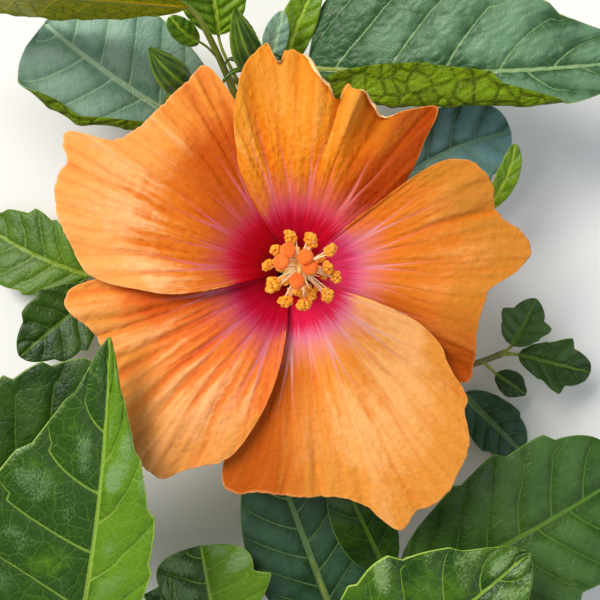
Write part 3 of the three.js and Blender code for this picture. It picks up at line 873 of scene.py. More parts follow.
@dataclass(frozen=True)
class PetalBackFinish:
    """The paler, finely ribbed back of the petals, with the throat's red showing through."""

    name: str = "petal_back"
    pale: Colour = (250, 186, 120)
    warm: Colour = (240, 150, 78)
    green: Colour = (196, 150, 70)
    rim: Colour = (252, 206, 148)
    throat: Colour = (150, 10, 30)
    veins: PetalVeins = PetalVeins()

    def build(self) -> Material:
        """Makes the material.

        Returns:
            The finished material.
        """
        bench = Bench(self.name)
        fan, reach, _ = bench.split(bench.uv("Fan"))
        streaks = bench.grain(bench.stretch(bench.uv("Fan"), (70, 4, 1)), 1.0, 4.0)
        colour = bench.mix(streaks.rise(0.3, 0.7), self.warm, self.pale)
        colour = bench.mix((1 - reach.rise(0.1, 0.35)) * 0.7, colour, self.green)
        line = 1 - self.veins.nearness(fan, reach).rise(0.02, 0.07)
        colour = bench.mix(line * 0.4, colour, self.green)
        colour = bench.mix((1 - from_axis(bench).rise(13, 19)) * 0.9, colour, self.throat)
        edge = bench.shade("rim").rise(0.8, 0.94) * reach.rise(0.6, 0.75)
        colour = bench.mix(edge * 0.85, colour, self.rim)
        return bench.finish(colour, 0.62, streaks + line * 0.5, 0.25, shine=0.1)


@dataclass(frozen=True)
class Roll:
    """A stretch of a petal's margin that rolls back over its face."""

    bearing: float
    spread: float
    depth: float
    turn: float = 165.0


@dataclass(frozen=True)
class Crease:
    """A fold that runs out to a petal's margin; a negative depth is a valley."""

    bearing: float
    spread: float
    depth: float
    start: float = 0.4


@dataclass(frozen=True)
class Petal:
    """One petal: its direction, margin and folds, as the solid has them."""

    name: str
    heading: float
    ruffle: float
    folds: float
    phase: float
    pleating: float
    outline: Spline
    finish: PetalFinish
    rolls: tuple[Roll, ...] = ()
    creases: tuple[Crease, ...] = ()


# Each petal's throat tones also hold the light on its side of the throat: painted light and shade, pinker
# and lighter on the right petal and darker on the lower left one.
PETALS = (
    Petal(
        "petal_upper_left", 150, 1.0, 9, 0.6, 0.9,
        Spline((
            (-54, 18), (-50, 33), (-45, 45), (-40, 57), (-33, 55.6), (-24, 53.8), (-14, 53.2),
            (-8, 55.2), (-5, 58.5), (-2, 68.2), (1, 67.4), (4, 64.5), (9, 64.8), (17, 62.2),
            (24, 57.4), (34, 51), (41, 38.5), (47, 29), (53, 16),
        )),
        PetalFinish(
            "petal_upper_left_face",
            deep=(192, 77, 14), middle=(218, 115, 28), pale=(246, 180, 118),
            tip=(232, 148, 62), shaded=(184, 78, 14), lean=0.95, shade_fades=1.0,
            shade_start=0.48,
            throat=ThroatTones((198, 6, 28), (202, 39, 70), (190, 70, 75), (207, 102, 113)),
        ),
        creases=(
            Crease(-37, 1.2, -1.2, 0.3), Crease(-33, 1.5, -1.5, 0.25), Crease(-28.5, 1.6, -1.1, 0.25),
            Crease(-24, 1.8, -0.8, 0.3), Crease(-17, 2.2, -0.6, 0.35), Crease(16, 2.4, -0.5, 0.6),
            Crease(22, 2.0, 0.8, 0.6), Crease(28, 1.8, -0.6, 0.6), Crease(33, 2.0, 0.7, 0.55),
        ),
    ),
    Petal(
        "petal_top", 80, 2.0, 11, 2.1, 1.0,
        Spline((
            (-53, 20), (-49, 31), (-44, 38), (-38, 47), (-34, 55.4), (-28, 50), (-22, 44.4),
            (-16, 46), (-12, 47.6), (-9, 47), (-6.4, 48.4), (-4.6, 43.4), (0, 46.4), (4, 49.2),
            (7, 53.4), (10, 55.6), (13.6, 55.4), (15.4, 52.8), (18.2, 57.8), (25, 53.4), (30, 46.8),
            (35, 40), (39, 33.4), (45, 26.5), (52, 14),
        )),
        PetalFinish(
            "petal_top_face",
            deep=(214, 98, 10), middle=(228, 130, 26), pale=(242, 158, 66),
            tip=(216, 134, 32), shaded=(146, 38, 0), lean=0.5, shade_start=0.6, crinkle=1.0,
            throat=ThroatTones((203, 12, 42), (216, 64, 92), (212, 90, 90), (223, 119, 117)),
        ),
        rolls=(Roll(2, 6.5, 4.6), Roll(16.4, 2.6, 3.6, 150), Roll(-6.6, 2.2, 3.4), Roll(-18, 8.5, 3.4)),
        creases=(
            Crease(-5.5, 2.2, -3.2, 0.5), Crease(-11, 2.6, 2.6, 0.45), Crease(-16, 2.0, -1.6, 0.45),
            Crease(-21, 2.6, -2.4, 0.4), Crease(-27, 2.2, 1.6, 0.4), Crease(3, 2.2, 1.6, 0.5),
            Crease(9, 2.0, -1.0, 0.55), Crease(-33, 2.0, -1.2, 0.4),
        ),
    ),
    Petal(
        "petal_right", 5, 1.2, 8, 4.0, 0.8,
        Spline((
            (-52, 22), (-47, 41), (-41, 52.4), (-35, 51.4), (-27, 48.2), (-18, 47.7), (-11, 49),
            (-5, 56.4), (0, 60.2), (5, 58.6), (11, 53.4), (16, 53), (21, 54.2), (27, 52.8),
            (32, 49.5), (36, 42), (39, 28), (45, 15),
        )),
        PetalFinish(
            "petal_right_face",
            deep=(220, 104, 22), middle=(216, 118, 34), pale=(234, 150, 74),
            tip=(196, 122, 32), shaded=(172, 68, 6), lean=-0.3, lightening=0.15,
            throat=ThroatTones((193, 43, 81), (206, 92, 124), (208, 117, 126), (218, 143, 143)),
        ),
        creases=(
            Crease(-38, 3.0, -1.6, 0.3), Crease(-31, 2.2, 1.2, 0.35), Crease(-8, 1.8, -0.6, 0.5),
            Crease(14, 2.0, -0.7, 0.5), Crease(24, 2.2, 0.7, 0.5),
        ),
    ),
    Petal(
        "petal_lower_right", -65, 1.0, 9, 5.2, 0.75,
        Spline((
            (-54, 20), (-51, 39), (-48, 55.6), (-43, 59.4), (-36, 57.2), (-25, 57.3), (-15, 58.2),
            (-8, 63.4), (-3, 72.3), (2, 69.2), (5, 69.9), (9, 69.4), (14, 67), (22, 62.2),
            (28, 55.2), (31, 54.4), (36, 46.2), (43, 39.8), (49, 31), (54, 18),
        )),
        PetalFinish(
            "petal_lower_right_face",
            deep=(216, 102, 30), middle=(230, 136, 48), pale=(250, 176, 102),
            tip=(226, 138, 34), shaded=(176, 74, 10), lean=1.15, lightening=0.4,
            throat=ThroatTones((201, 25, 65), (209, 101, 130), (213, 132, 132), (223, 159, 150)),
        ),
        creases=(
            Crease(-30, 2.4, -0.9, 0.35), Crease(-20, 1.8, -0.7, 0.4), Crease(-8, 1.6, -0.8, 0.4),
            Crease(3, 1.6, -0.7, 0.45), Crease(12, 1.8, 0.6, 0.5), Crease(31.5, 1.6, -1.2, 0.5),
        ),
    ),
    Petal(
        "petal_lower_left", 223, 0.8, 10, 1.3, 1.4,
        Spline((
            (-53, 20), (-46, 44), (-42, 56.6), (-37, 59.4), (-30, 54), (-24, 52), (-12, 54.5),
            (0, 58.5), (10, 62.4), (16, 62), (21, 56), (28, 51.4), (32, 46.8), (36, 39.5), (42, 29),
            (51, 14),
        )),
        PetalFinish(
            "petal_lower_left_face",
            deep=(208, 86, 32), middle=(226, 118, 46), pale=(250, 176, 112),
            tip=(216, 136, 52), shaded=(184, 74, 12), lean=0.7, shade_fades=1.0,
            throat=ThroatTones((174, 7, 39), (179, 47, 82), (181, 75, 94), (192, 112, 130)),
        ),
        creases=(
            Crease(-41, 2.2, -0.9, 0.35), Crease(-34, 1.8, 0.8, 0.35), Crease(-27, 1.6, -1.0, 0.3),
            Crease(-20, 1.6, 0.9, 0.3), Crease(-13, 1.6, -1.0, 0.3), Crease(-5, 1.8, 0.9, 0.3),
            Crease(3, 1.8, -1.0, 0.3), Crease(11, 1.8, 0.8, 0.35), Crease(18, 2.0, -0.8, 0.35),
        ),
    ),
)


@dataclass(frozen=True)
class PetalBlade:
    """The dressed shape of one petal; u runs from its covering edge, v from claw to margin."""

    petal: Petal
    seed: int
    claw_radius: float = 4.6
    claw_height: float = 37.5
    claw_half_angle: float = 35
    throat_depth: float = 23
    throat_flare: float = 9
    lap: float = 3.0
    lap_angle: float = 60
    lap_start: float = 7
    droop: float = 4.5
    limb_reach: float = 65
    ruffle_start: float = 0.45
    crowding: float = 1.2
    crease_tone: float = 0.55
    fold_depth: float = 0.55
    vein_depth: float = 0.16
    vein_width: float = 0.7
    nibbles: tuple[Ripple, ...] = (Ripple(0.5, 0.3, 1, 0), Ripple(0.34, 0.85, 1, 9))
    sway: tuple[Ripple, ...] = (Ripple(0.018, 4, 2.2, 20), Ripple(0.005, 16, 7, 30))
    pleats: tuple[Ripple, ...] = (
        Ripple(1.1, 10, 0.9, 1), Ripple(1.0, 26, 1.4, 2), Ripple(0.45, 54, 4, 6),
    )
    crepe: tuple[Ripple, ...] = (Ripple(0.16, 1 / 1.9, 18, 3), Ripple(0.08, 1, 38, 4))
    veins: PetalVeins = PetalVeins()

    UNIT = 55
    SPREAD = 1.85
    LEAST_ROLL = 1e-4
    PLAIN_TURN = 2.8
    ROLL_TAKE = 0.8

    def _bearing(self, u: Values) -> Values:
        """Angle from the petal's own direction; the grid runs from the covering edge."""
        first, last = self.petal.outline.pairs[0][0], self.petal.outline.pairs[-1][0]
        return last + (first - last) * u

    def _height(self, x: Values, y: Values, reach: Values) -> Values:
        """Height of the petal over the ground.

        Args:
            x: Places in plan, from the bloom's axis.
            y: The same, along the stem.
            reach: Shares of the way from claw to margin.

        Returns:
            The height at each place.
        """
        rho = np.hypot(x, y)
        bearing = (np.degrees(np.arctan2(y, x)) - self.petal.heading + 540) % 360 - 180
        out = np.maximum(0, rho - self.claw_radius)
        throat = self.throat_depth * (1 - np.exp(-out / self.throat_flare))
        lap = self.lap * (bearing / self.lap_angle) * (1 - np.exp(-out / self.lap_start))
        droop = self.droop * (rho / self.limb_reach) ** 3
        wave = np.sin(np.radians(bearing) * self.petal.folds + self.petal.phase)
        ruffle = self.petal.ruffle * wave * smooth(self.ruffle_start, 1, reach)
        return self.claw_height + throat + lap - droop + ruffle

    def _margin(self, u: Values, bearing: Values) -> Values:
        """Distance of the margin from the claw, nibbled everywhere but at its ends."""
        nibble = rippled(bearing, bearing * 0, self.seed, self.nibbles)
        return self.petal.outline(bearing) + nibble * (1 - np.abs(2 * u - 1) ** 6)

    def _rolls(self, bearing: Values) -> tuple[Values, Values]:
        """How much of the margin rolls back over the face.

        Args:
            bearing: Angles from the petal's direction.

        Returns:
            The rolled length in millimetres and the angle that it turns through.
        """
        extra = np.full_like(bearing, self.LEAST_ROLL)
        turn = np.full_like(bearing, self.PLAIN_TURN)
        for roll in self.petal.rolls:
            near = np.clip(1 - ((bearing - roll.bearing) / roll.spread) ** 2, 0, 1)
            extra += roll.depth * near
            turn = np.where(near > 0, math.radians(roll.turn), turn)
        return extra, turn

    def _creases(self, bearing: Values, reach: Values) -> Values:
        """Height of the folds that run out to the margin.

        Args:
            bearing: Angles from the petal's direction.
            reach: Shares of the way from claw to margin.

        Returns:
            The height at each place.
        """
        height = np.zeros_like(reach)
        for crease in self.petal.creases:
            near = np.exp(-(((bearing - crease.bearing) / crease.spread) ** 2))
            height += crease.depth * near * smooth(crease.start, 1, reach)
        return height

    def surface(self, u: Values, v: Values) -> Values:
        """The petal's middle surface, with the stretches of margin that roll back.

        Args:
            u: Shares of the way across.
            v: Shares of the way out.

        Returns:
            The places, as an n by 3 array.
        """
        bearing = self._bearing(u)
        extra, turn = self._rolls(bearing)
        bend = extra / turn
        margin = self._margin(u, bearing) - self.ROLL_TAKE * bend
        share = v**self.crowding * (1 + extra / margin)
        inner = np.minimum(share, 1)
        angle = (share - inner) * margin / bend
        heading = math.radians(self.petal.heading)
        ray = heading + np.radians(bearing)
        foot = heading + math.radians(self.claw_half_angle) * (1 - 2 * u)
        far_x = self.claw_radius * math.cos(heading) + margin * np.cos(ray)
        far_y = self.claw_radius * math.sin(heading) + margin * np.sin(ray)
        x = self.claw_radius * np.cos(foot) * (1 - inner) + far_x * inner
        y = self.claw_radius * np.sin(foot) * (1 - inner) + far_y * inner
        x += np.cos(ray) * bend * np.sin(angle)
        y += np.sin(ray) * bend * np.sin(angle)
        z = self._height(x, y, inner) + bend * (1 - np.cos(angle))
        return np.stack([x, y, z + self._creases(bearing, inner)], axis=1)

    def fan(self, u: Values, v: Values) -> tuple[Values, Values]:
        """Where a place lies in the fan of veins, which sways a little.

        Args:
            u: Shares of the way across.
            v: Shares of the way out.

        Returns:
            The place across, 0 to 1, and the distance out in units of UNIT millimetres.
        """
        reach = v**self.crowding * self.petal.outline(self._bearing(u)) / self.UNIT
        sway = rippled(u, reach, self.seed, self.sway)
        return 1 - (u + sway * smooth(0, 0.3, reach)), reach

    def fan_map(self, u: Values, v: Values, _: Values) -> tuple[Values, Values]:
        """The fan of veins, for each face corner."""
        return self.fan(u, v)

    def _folds(self, fan: Values, reach: Values) -> Values:
        """Broad and fine folds that run out along the petal, from about -1 to 1."""
        grown = smooth(0.12, 0.6, reach)
        return rippled(fan, reach, self.seed, self.pleats) * grown * self.petal.pleating

    def tone(self, u: Values, v: Values) -> Values:
        """How light the folds and creases look, less than 0 in the valleys."""
        creases = self._creases(self._bearing(u), v**self.crowding)
        return self._folds(*self.fan(u, v)) + self.crease_tone * creases

    def rim(self, _: Values, v: Values) -> Values:
        """Share of the way to the margin, as the surface has it."""
        return v**self.crowding

    def relief(self, u: Values, v: Values) -> Values:
        """Height of the folds, veins and crepe over the middle surface.

        Args:
            u: Shares of the way across.
            v: Shares of the way out.

        Returns:
            The height in millimetres.
        """
        fan, reach = self.fan(u, v)
        width = (self.claw_radius + reach * self.UNIT) * self.SPREAD
        away = self.veins.nearness(fan, reach) * width / self.veins.mains
        groove = np.exp(-((away / self.vein_width) ** 2))
        veins = self.vein_depth * groove * smooth(0.04, 0.2, reach) * (1 - smooth(0.3, 0.9, reach))
        crepe = rippled((fan - 0.5) * width, reach, self.seed, self.crepe)
        strength = smooth(0.1, 0.5, reach) * self.petal.pleating
        return self._folds(fan, reach) * self.fold_depth + crepe * strength - veins


@dataclass
class Corolla:
    """The five petals, each lying over the next one round."""

    thickness: float = 0.35
    columns: int = 210
    rows: int = 130

    def build(self) -> None:
        """Makes the five petals."""
        back = PetalBackFinish().build()
        for seed, petal in enumerate(PETALS):
            blade = PetalBlade(petal, seed)
            # fold holds how light the folds and creases look, which the faces paint as light and shade.
            maps, shades = {"Fan": blade.fan_map}, {"fold": blade.tone, "rim": blade.rim}
            sheet = Sheet(
                self.columns, self.rows, blade.surface, blade.relief, maps=maps, shades=shades
            )
            mesh = sheet.mesh(petal.name + "_sheet")
            show(mesh, [petal.finish.build(), back], [petal.name], self.thickness)


@dataclass(frozen=True)
class LimbFinish:
    """A stem, twig or stalk: its skin, its speckles and its fine grain."""

    name: str
    light: Colour
    dark: Colour
    speck: Colour
    speck_share: float = 0.3
    roughness: float = 0.7
    depth: float = 0.1

    def build(self) -> Material:
        """Makes the material.

        Returns:
            The finished material.
        """
        bench = Bench(self.name)
        skin = bench.uv("Skin")
        streaks = bench.grain(bench.stretch(skin, (6, 1.1, 1)), 2.0, 4.0)
        mottle = bench.grain(bench.place(), 160, 3.0)
        colour = bench.mix((streaks * 0.6 + mottle * 0.4).rise(0.35, 0.65), self.dark, self.light)
        pores = bench.walls(bench.stretch(skin, (14, 7, 1)), 1.0)
        speck = pores.rise(0.28, 0.42) * self.speck_share
        colour = bench.mix(speck, colour, self.speck)
        return bench.finish(colour, self.roughness, streaks + speck, self.depth, shine=0.4)


@dataclass(frozen=True)
class CutWoodFinish:
    """The flat cut across the stem: pale wood with darker rings."""

    name: str = "cut_wood"
    wood: Colour = (222, 204, 158)
    ring: Colour = (190, 164, 110)
    rim: Colour = (120, 132, 60)

    def build(self) -> Material:
        """Makes the material.

        Returns:
            The finished material.
        """
        bench = Bench(self.name)
        place = bench.place()
        rings = bench.flow(
            "ShaderNodeTexWave",
            {"wave_type": "RINGS", "rings_direction": "Y"},
            {"Vector": place, "Scale": 700.0, "Distortion": 2.0},
            out=1,
        )
        colour = bench.mix(rings * 0.6, self.wood, self.ring)
        return bench.finish(colour, 0.8, rings, 0.05)


GREEN_SKIN = LimbFinish("young_skin", (132, 150, 52), (92, 120, 34), (160, 170, 90), 0.2, 0.45, 0.05)
TWIG_SKIN = LimbFinish("twig_skin", (126, 126, 66), (88, 84, 44), (168, 156, 110), 0.45, 0.6, 0.08)
LEAF_STALK = LimbFinish("leaf_stalk", (146, 154, 50), (112, 122, 30), (170, 150, 70), 0.25, 0.45, 0.04)
BUD_STALK = LimbFinish("bud_stalk", (120, 146, 44), (84, 112, 28), (150, 160, 80), 0.2, 0.45, 0.05)
BARK_SKIN = LimbFinish("bark_skin", (140, 122, 90), (88, 72, 50), (180, 166, 134), 0.6, 0.82, 0.2)


@dataclass(frozen=True)
class Limb:
    """A stem, twig or stalk: its route and its radius at each end."""

    name: str
    route: tuple[Point, ...]
    radius: tuple[float, float]
    foot: float = 0.0

    @property
    def path(self) -> Path:
        """The limb's middle line."""
        return Path(self.route)

    def girth(self, share: Values) -> Values:
        """Radius at shares of the length, with a collar where the limb starts."""
        low, high = self.radius
        return low + (high - low) * share + self.foot * np.exp(-share / COLLAR_FADE)


STEM = Limb(
    "main_stem",
    (
        (15, -136, 3.2), (11, -102, 3.05), (3, -55, 2.75), (-3, -8, 2.5), (-9, 23, 2.9),
        (-13, 40, 8), (-15.5, 51, 18), (-16.5, 56, 28),
    ),
    (3.2, 1.7),
)
TWIGS = (
    Limb(
        "twig_lower_left",
        (
            (12, -112, 3), (-6, -122, 8), (-32, -128, 17), (-60, -123, 27), (-84, -107, 33),
            (-99, -84, 36),
        ),
        (1.9, 1.0), 0.7,
    ),
    Limb(
        "twig_right",
        ((0, -30, 2.6), (18, -33, 7), (40, -31, 12), (56, -27, 14), (65, -23.5, 15)),
        (1.5, 0.9), 0.6,
    ),
    Limb(
        "twig_upper_right",
        ((-7, 14, 2.6), (8, 18, 12), (26, 20, 19), (42, 17, 21), (56, 16, 23)),
        (1.4, 0.8), 0.6,
    ),
    Limb(
        "twig_left",
        ((-4, 0, 2.5), (-20, -3, 7), (-40, -2, 9), (-58, 2, 8.6)),
        (1.5, 0.9), 0.6,
    ),
)
PEDICEL = Limb(
    "pedicel",
    ((1.5, -45, 2.7), (3, -38, 8), (3, -22, 14), (0.8, -7, 17), (0, 0, 21), (0, 0, 24.2)),
    (1.25, 1.25), 0.6,
)
LIMBS = {limb.name: limb for limb in (STEM, *TWIGS, PEDICEL)}


@dataclass
class Branchwork:
    """The woody stem, its green twigs and the bloom's stalk; grids count faces round and along."""

    stem_nodes: int = 9
    node_swelling: float = 0.28
    flower_swelling: float = 0.9
    flower_start: float = 0.86
    stem_grid: tuple[int, int] = (40, 420)
    twig_grid: tuple[int, int] = (20, 150)
    stalk_grid: tuple[int, int] = (20, 110)
    bark_girth: float = 2.2
    bark_length: float = 24
    furrow_depth: float = 0.16
    furrows: tuple[Ripple, ...] = (Ripple(1, 1.8, 1, 1), Ripple(0.5, 4, 2, 2))
    wart_height: float = 0.5
    wart_start: float = 0.35
    warts: tuple[Ripple, ...] = (Ripple(1, 5, 6, 3),)
    twig_nodes: int = 4
    twig_lumps: float = 0.07
    twig_rings: float = 0.16
    stalk_seed: int = 7
    stalk_share: float = 0.6

    def build(self) -> None:
        """Makes the limbs."""
        self._stem()
        skin = TWIG_SKIN.build()
        for seed, twig in enumerate(TWIGS):
            sheet = limb_sheet(
                twig.path, twig.girth, *self.twig_grid, lambda u, v, s=seed: self._twig_relief(s, u, v)
            )
            show(sheet.mesh(twig.name + "_skin"), [skin], [twig.name])
        self._stalk()

    def _stem(self) -> None:
        """The main stem, with the rings of earlier leaves and its flat cut."""
        sheet = limb_sheet(STEM.path, self._stem_radius, *self.stem_grid, self._bark)
        mesh = sheet.mesh("main_stem_bark")
        for face in mesh.polygons:
            if len(face.vertices) > 4:
                face.material_index = 1
        show(mesh, [BARK_SKIN.build(), CutWoodFinish().build()], [STEM.name])

    def _stem_radius(self, share: Values) -> Values:
        """The stem's radius, with its swollen nodes."""
        ring = np.maximum(0, np.cos(share * 2 * math.pi * self.stem_nodes)) ** 6
        return STEM.girth(share) + self.node_swelling * ring * smooth(0, 0.08, share)

    def _bark(self, u: Values, v: Values) -> Values:
        """Furrows and warts of the bark, fading at the flat cut.

        Args:
            u: Shares of a turn round the stem.
            v: Shares of its length.

        Returns:
            Their height in millimetres.
        """
        turn = u * 2 * math.pi
        around = np.cos(turn) * self.bark_girth
        along = np.sin(turn) * self.bark_girth + v * self.bark_length
        furrows = self.furrow_depth * rippled(around, along, 0, self.furrows)
        warts = np.maximum(0, rippled(around, along, 0, self.warts) - self.wart_start)
        return (furrows + self.wart_height * warts) * smooth(0, 0.01, v)

    def _twig_relief(self, seed: int, u: Values, v: Values) -> Values:
        """Low ridges and node rings of a green twig.

        Args:
            seed: Sets one twig apart from the others.
            u: Shares of a turn round the twig.
            v: Shares of its length.

        Returns:
            Their height in millimetres.
        """
        turn = u * 2 * math.pi
        ring = np.maximum(0, np.cos(v * 2 * math.pi * self.twig_nodes + seed)) ** 12
        lumps = soft_noise(np.cos(turn) * 1.5 + v * 16, np.sin(turn) * 1.5, seed + 5)
        return self.twig_lumps * lumps + self.twig_rings * ring

    def _stalk_radius(self, share: Values) -> Values:
        """The stalk's radius, which grows under the bracts."""
        return PEDICEL.girth(share) + self.flower_swelling * smooth(self.flower_start, 1, share)

    def _stalk_relief(self, u: Values, v: Values) -> Values:
        """The stalk's ridges, fainter than a twig's."""
        return self._twig_relief(self.stalk_seed, u, v) * self.stalk_share

    def _stalk(self) -> None:
        """The bloom's stalk."""
        sheet = limb_sheet(PEDICEL.path, self._stalk_radius, *self.stalk_grid, self._stalk_relief)
        show(sheet.mesh("pedicel_skin"), [GREEN_SKIN.build()], [PEDICEL.name])


def leaf_veins(bench: Bench, width: float) -> Flow:
    """Where a leaf's midrib and side veins run.

    Args:
        bench: The leaf's material.
        width: Scales the veins' width.

    Returns:
        1 on a vein and 0 beside it.
    """
    order, out, _ = bench.split(bench.uv("Veins"))
    distance, along, _ = bench.split(bench.uv("Middle"))
    taper = (1 - out * 0.65) * width
    side = (1 - (abs(order % 1.0 - 0.5) / taper).rise(0.014, 0.036)) * (1 - out.rise(0.8, 0.99) * 0.7)
    middle = 1 - (abs(distance) - (1 - along) * (0.45 * width)).rise(0.22 * width, 0.5 * width)
    both = side * 0.75
    return both + middle * (0.95 - both)


@dataclass(frozen=True)
class LeafBackFinish:
    """A leaf's paler underside, with its veins standing out, and the slot of such a leaf."""

    name: str
    blade: Colour
    shade: Colour
    vein: Colour
    line: Colour
    slot: Slot = Slot.GREEN_LEAF

    def build(self) -> Material:
        """Makes the material.

        Returns:
            The finished material.
        """
        bench = Bench(self.name)
        mottle = bench.grain(bench.place(), 120, 3.0)
        chart = bench.swayed(bench.uv("Blade"), 2.0, 0.16)
        coarse, fine = bench.walls(chart, 4.2), bench.walls(chart, 12.0)
        # Lighter inside the cells and darker towards their walls, over the random mottle: painted light on
        # the puckered cells and painted shade in the grooves.
        tone = bench.shade("net") * 0.35 + mottle * 0.7 + coarse.rise(0.0, 0.16) * 0.3
        colour = bench.mix(tone.rise(0.35, 1.0), self.shade, self.blade)
        lines = (1 - coarse.rise(0.01, 0.07)) * 0.36 + (1 - fine.rise(0.01, 0.1)) * 0.1
        colour = bench.mix(lines, colour, self.line)
        colour = bench.mix(leaf_veins(bench, 1.2) * 0.8, colour, self.vein)
        relief = coarse.rise(0.0, 0.2) + fine.rise(0.0, 0.2) * 0.4
        return bench.finish(colour, 0.5, relief, 0.35, shine=0.1)


GREEN_BACK = LeafBackFinish(
    "leaf_green_back", (122, 140, 30), (92, 108, 14), (166, 168, 50), (150, 160, 50)
)
# The underside of a leaf with light shining through it: its own olive with a painted golden glow, brightest
# along the veins.
BACKLIT_BACK = LeafBackFinish(
    "leaf_backlit_back", (162, 160, 0), (126, 136, 0), (226, 186, 8), (116, 120, 0)
)
BLUE_BACK = LeafBackFinish(
    "leaf_blue_back", (112, 138, 12), (70, 86, 0), (120, 138, 30), (62, 72, 2), Slot.BLUE_LEAF
)
YOUNG_BACK = LeafBackFinish(
    "leaf_young_back", (140, 168, 40), (110, 140, 20), (180, 196, 80), (180, 196, 80), Slot.YOUNG
)


@dataclass(frozen=True)
class LeafFinish:
    """A leaf's upper face: blade, pale vein network and light margin.

    Two strengths lay the sheen's colour over the blade as a painted reflection, the one
    softly and the other in patches on the outer half. A third makes the right half lighter
    than the left one as painted light, foot makes the blade darker near its base as painted
    shade, and back is the finish of the other face.
    """

    name: str
    dark: Colour
    light: Colour
    vein: Colour
    margin: Colour
    reflection_colour: Colour
    roughness: float = 0.3
    painted_sheen: float = 0.0
    network: float = 0.3
    vein_width: float = 1.0
    coat: float = 0.06
    painted_gloss: float = 0.0
    lit_half: float = 0.0
    foot: float = 0.0
    back: LeafBackFinish = GREEN_BACK

    def build(self) -> Material:
        """Makes the material.

        Returns:
            The finished material.
        """
        bench = Bench(self.name)
        chart = bench.uv("Blade")
        dome, out = bench.shade("dome"), bench.split(bench.uv("Veins"))[1]
        mottle = bench.grain(bench.place(), 60, 3.0)
        dapple = bench.grain(bench.place(), 380, 3.0)
        across, along, _ = bench.split(bench.uv("Middle"))
        # Lighter on the domes between the side veins and, by a set amount, on the right half: painted light,
        # over the random mottle.
        right = 1 - across.rise(-0.4, 0.4)
        tone = mottle * 0.7 + dapple * 0.35 + dome * 0.12 + (right - 0.5) * self.lit_half
        colour = bench.mix(tone.rise(0.42, 0.78), self.dark, self.light)
        # Painted shade: the blade darker near its base.
        foot_shade = (1 - along.rise(0.06, 0.3)) * self.foot
        colour = bench.mix(foot_shade, colour, self.dark)
        # Painted reflection: pale patches of the sky's reflection on the domes of the outer half.
        if self.painted_gloss:
            ripple = bench.grain(bench.stretch(chart, (1, 0.5, 1)), 42, 1.0) - 0.5
            reflection_patches = bench.grain(bench.place(), 80, 1.0) + dome * 0.42
            reflection_patches = reflection_patches + ripple * 0.5 + (dapple - 0.5) * 0.12
            reflection_share = reflection_patches.rise(0.82, 1.08) * along.rise(0.2, 0.5) * self.painted_gloss
            colour = bench.mix(reflection_share, colour, self.reflection_colour)
        chart = bench.swayed(chart, 3.0, 0.16)
        coarse, fine = bench.walls(chart, 4.6), bench.walls(chart, 12.0)
        lines = (1 - coarse.rise(0.01, 0.06)) * 0.7 + (1 - fine.rise(0.01, 0.1)) * 0.4
        colour = bench.mix(lines * self.network, colour, self.vein)
        # A soft painted sheen: the sky's reflection laid over the blade in the sheen colour, strongest on
        # the domes.
        if self.painted_sheen:
            painted_sheen_share = (dome * 0.5 + mottle + dapple * 0.3).rise(0.6, 1.3) * self.painted_sheen
            colour = bench.mix(painted_sheen_share * (1 - foot_shade), colour, self.reflection_colour)
        colour = bench.mix(leaf_veins(bench, self.vein_width), colour, self.vein)
        colour = bench.mix(out.rise(0.972, 0.992) * 0.85, colour, self.margin)
        relief = coarse.rise(0.0, 0.16) * 0.7 + fine.rise(0.0, 0.2) * 0.5 + dapple * 0.3
        roughness = self.roughness + (dapple - 0.5) * 0.12
        return bench.finish(colour, roughness, relief, 0.1, shine=0.26, coat=self.coat)


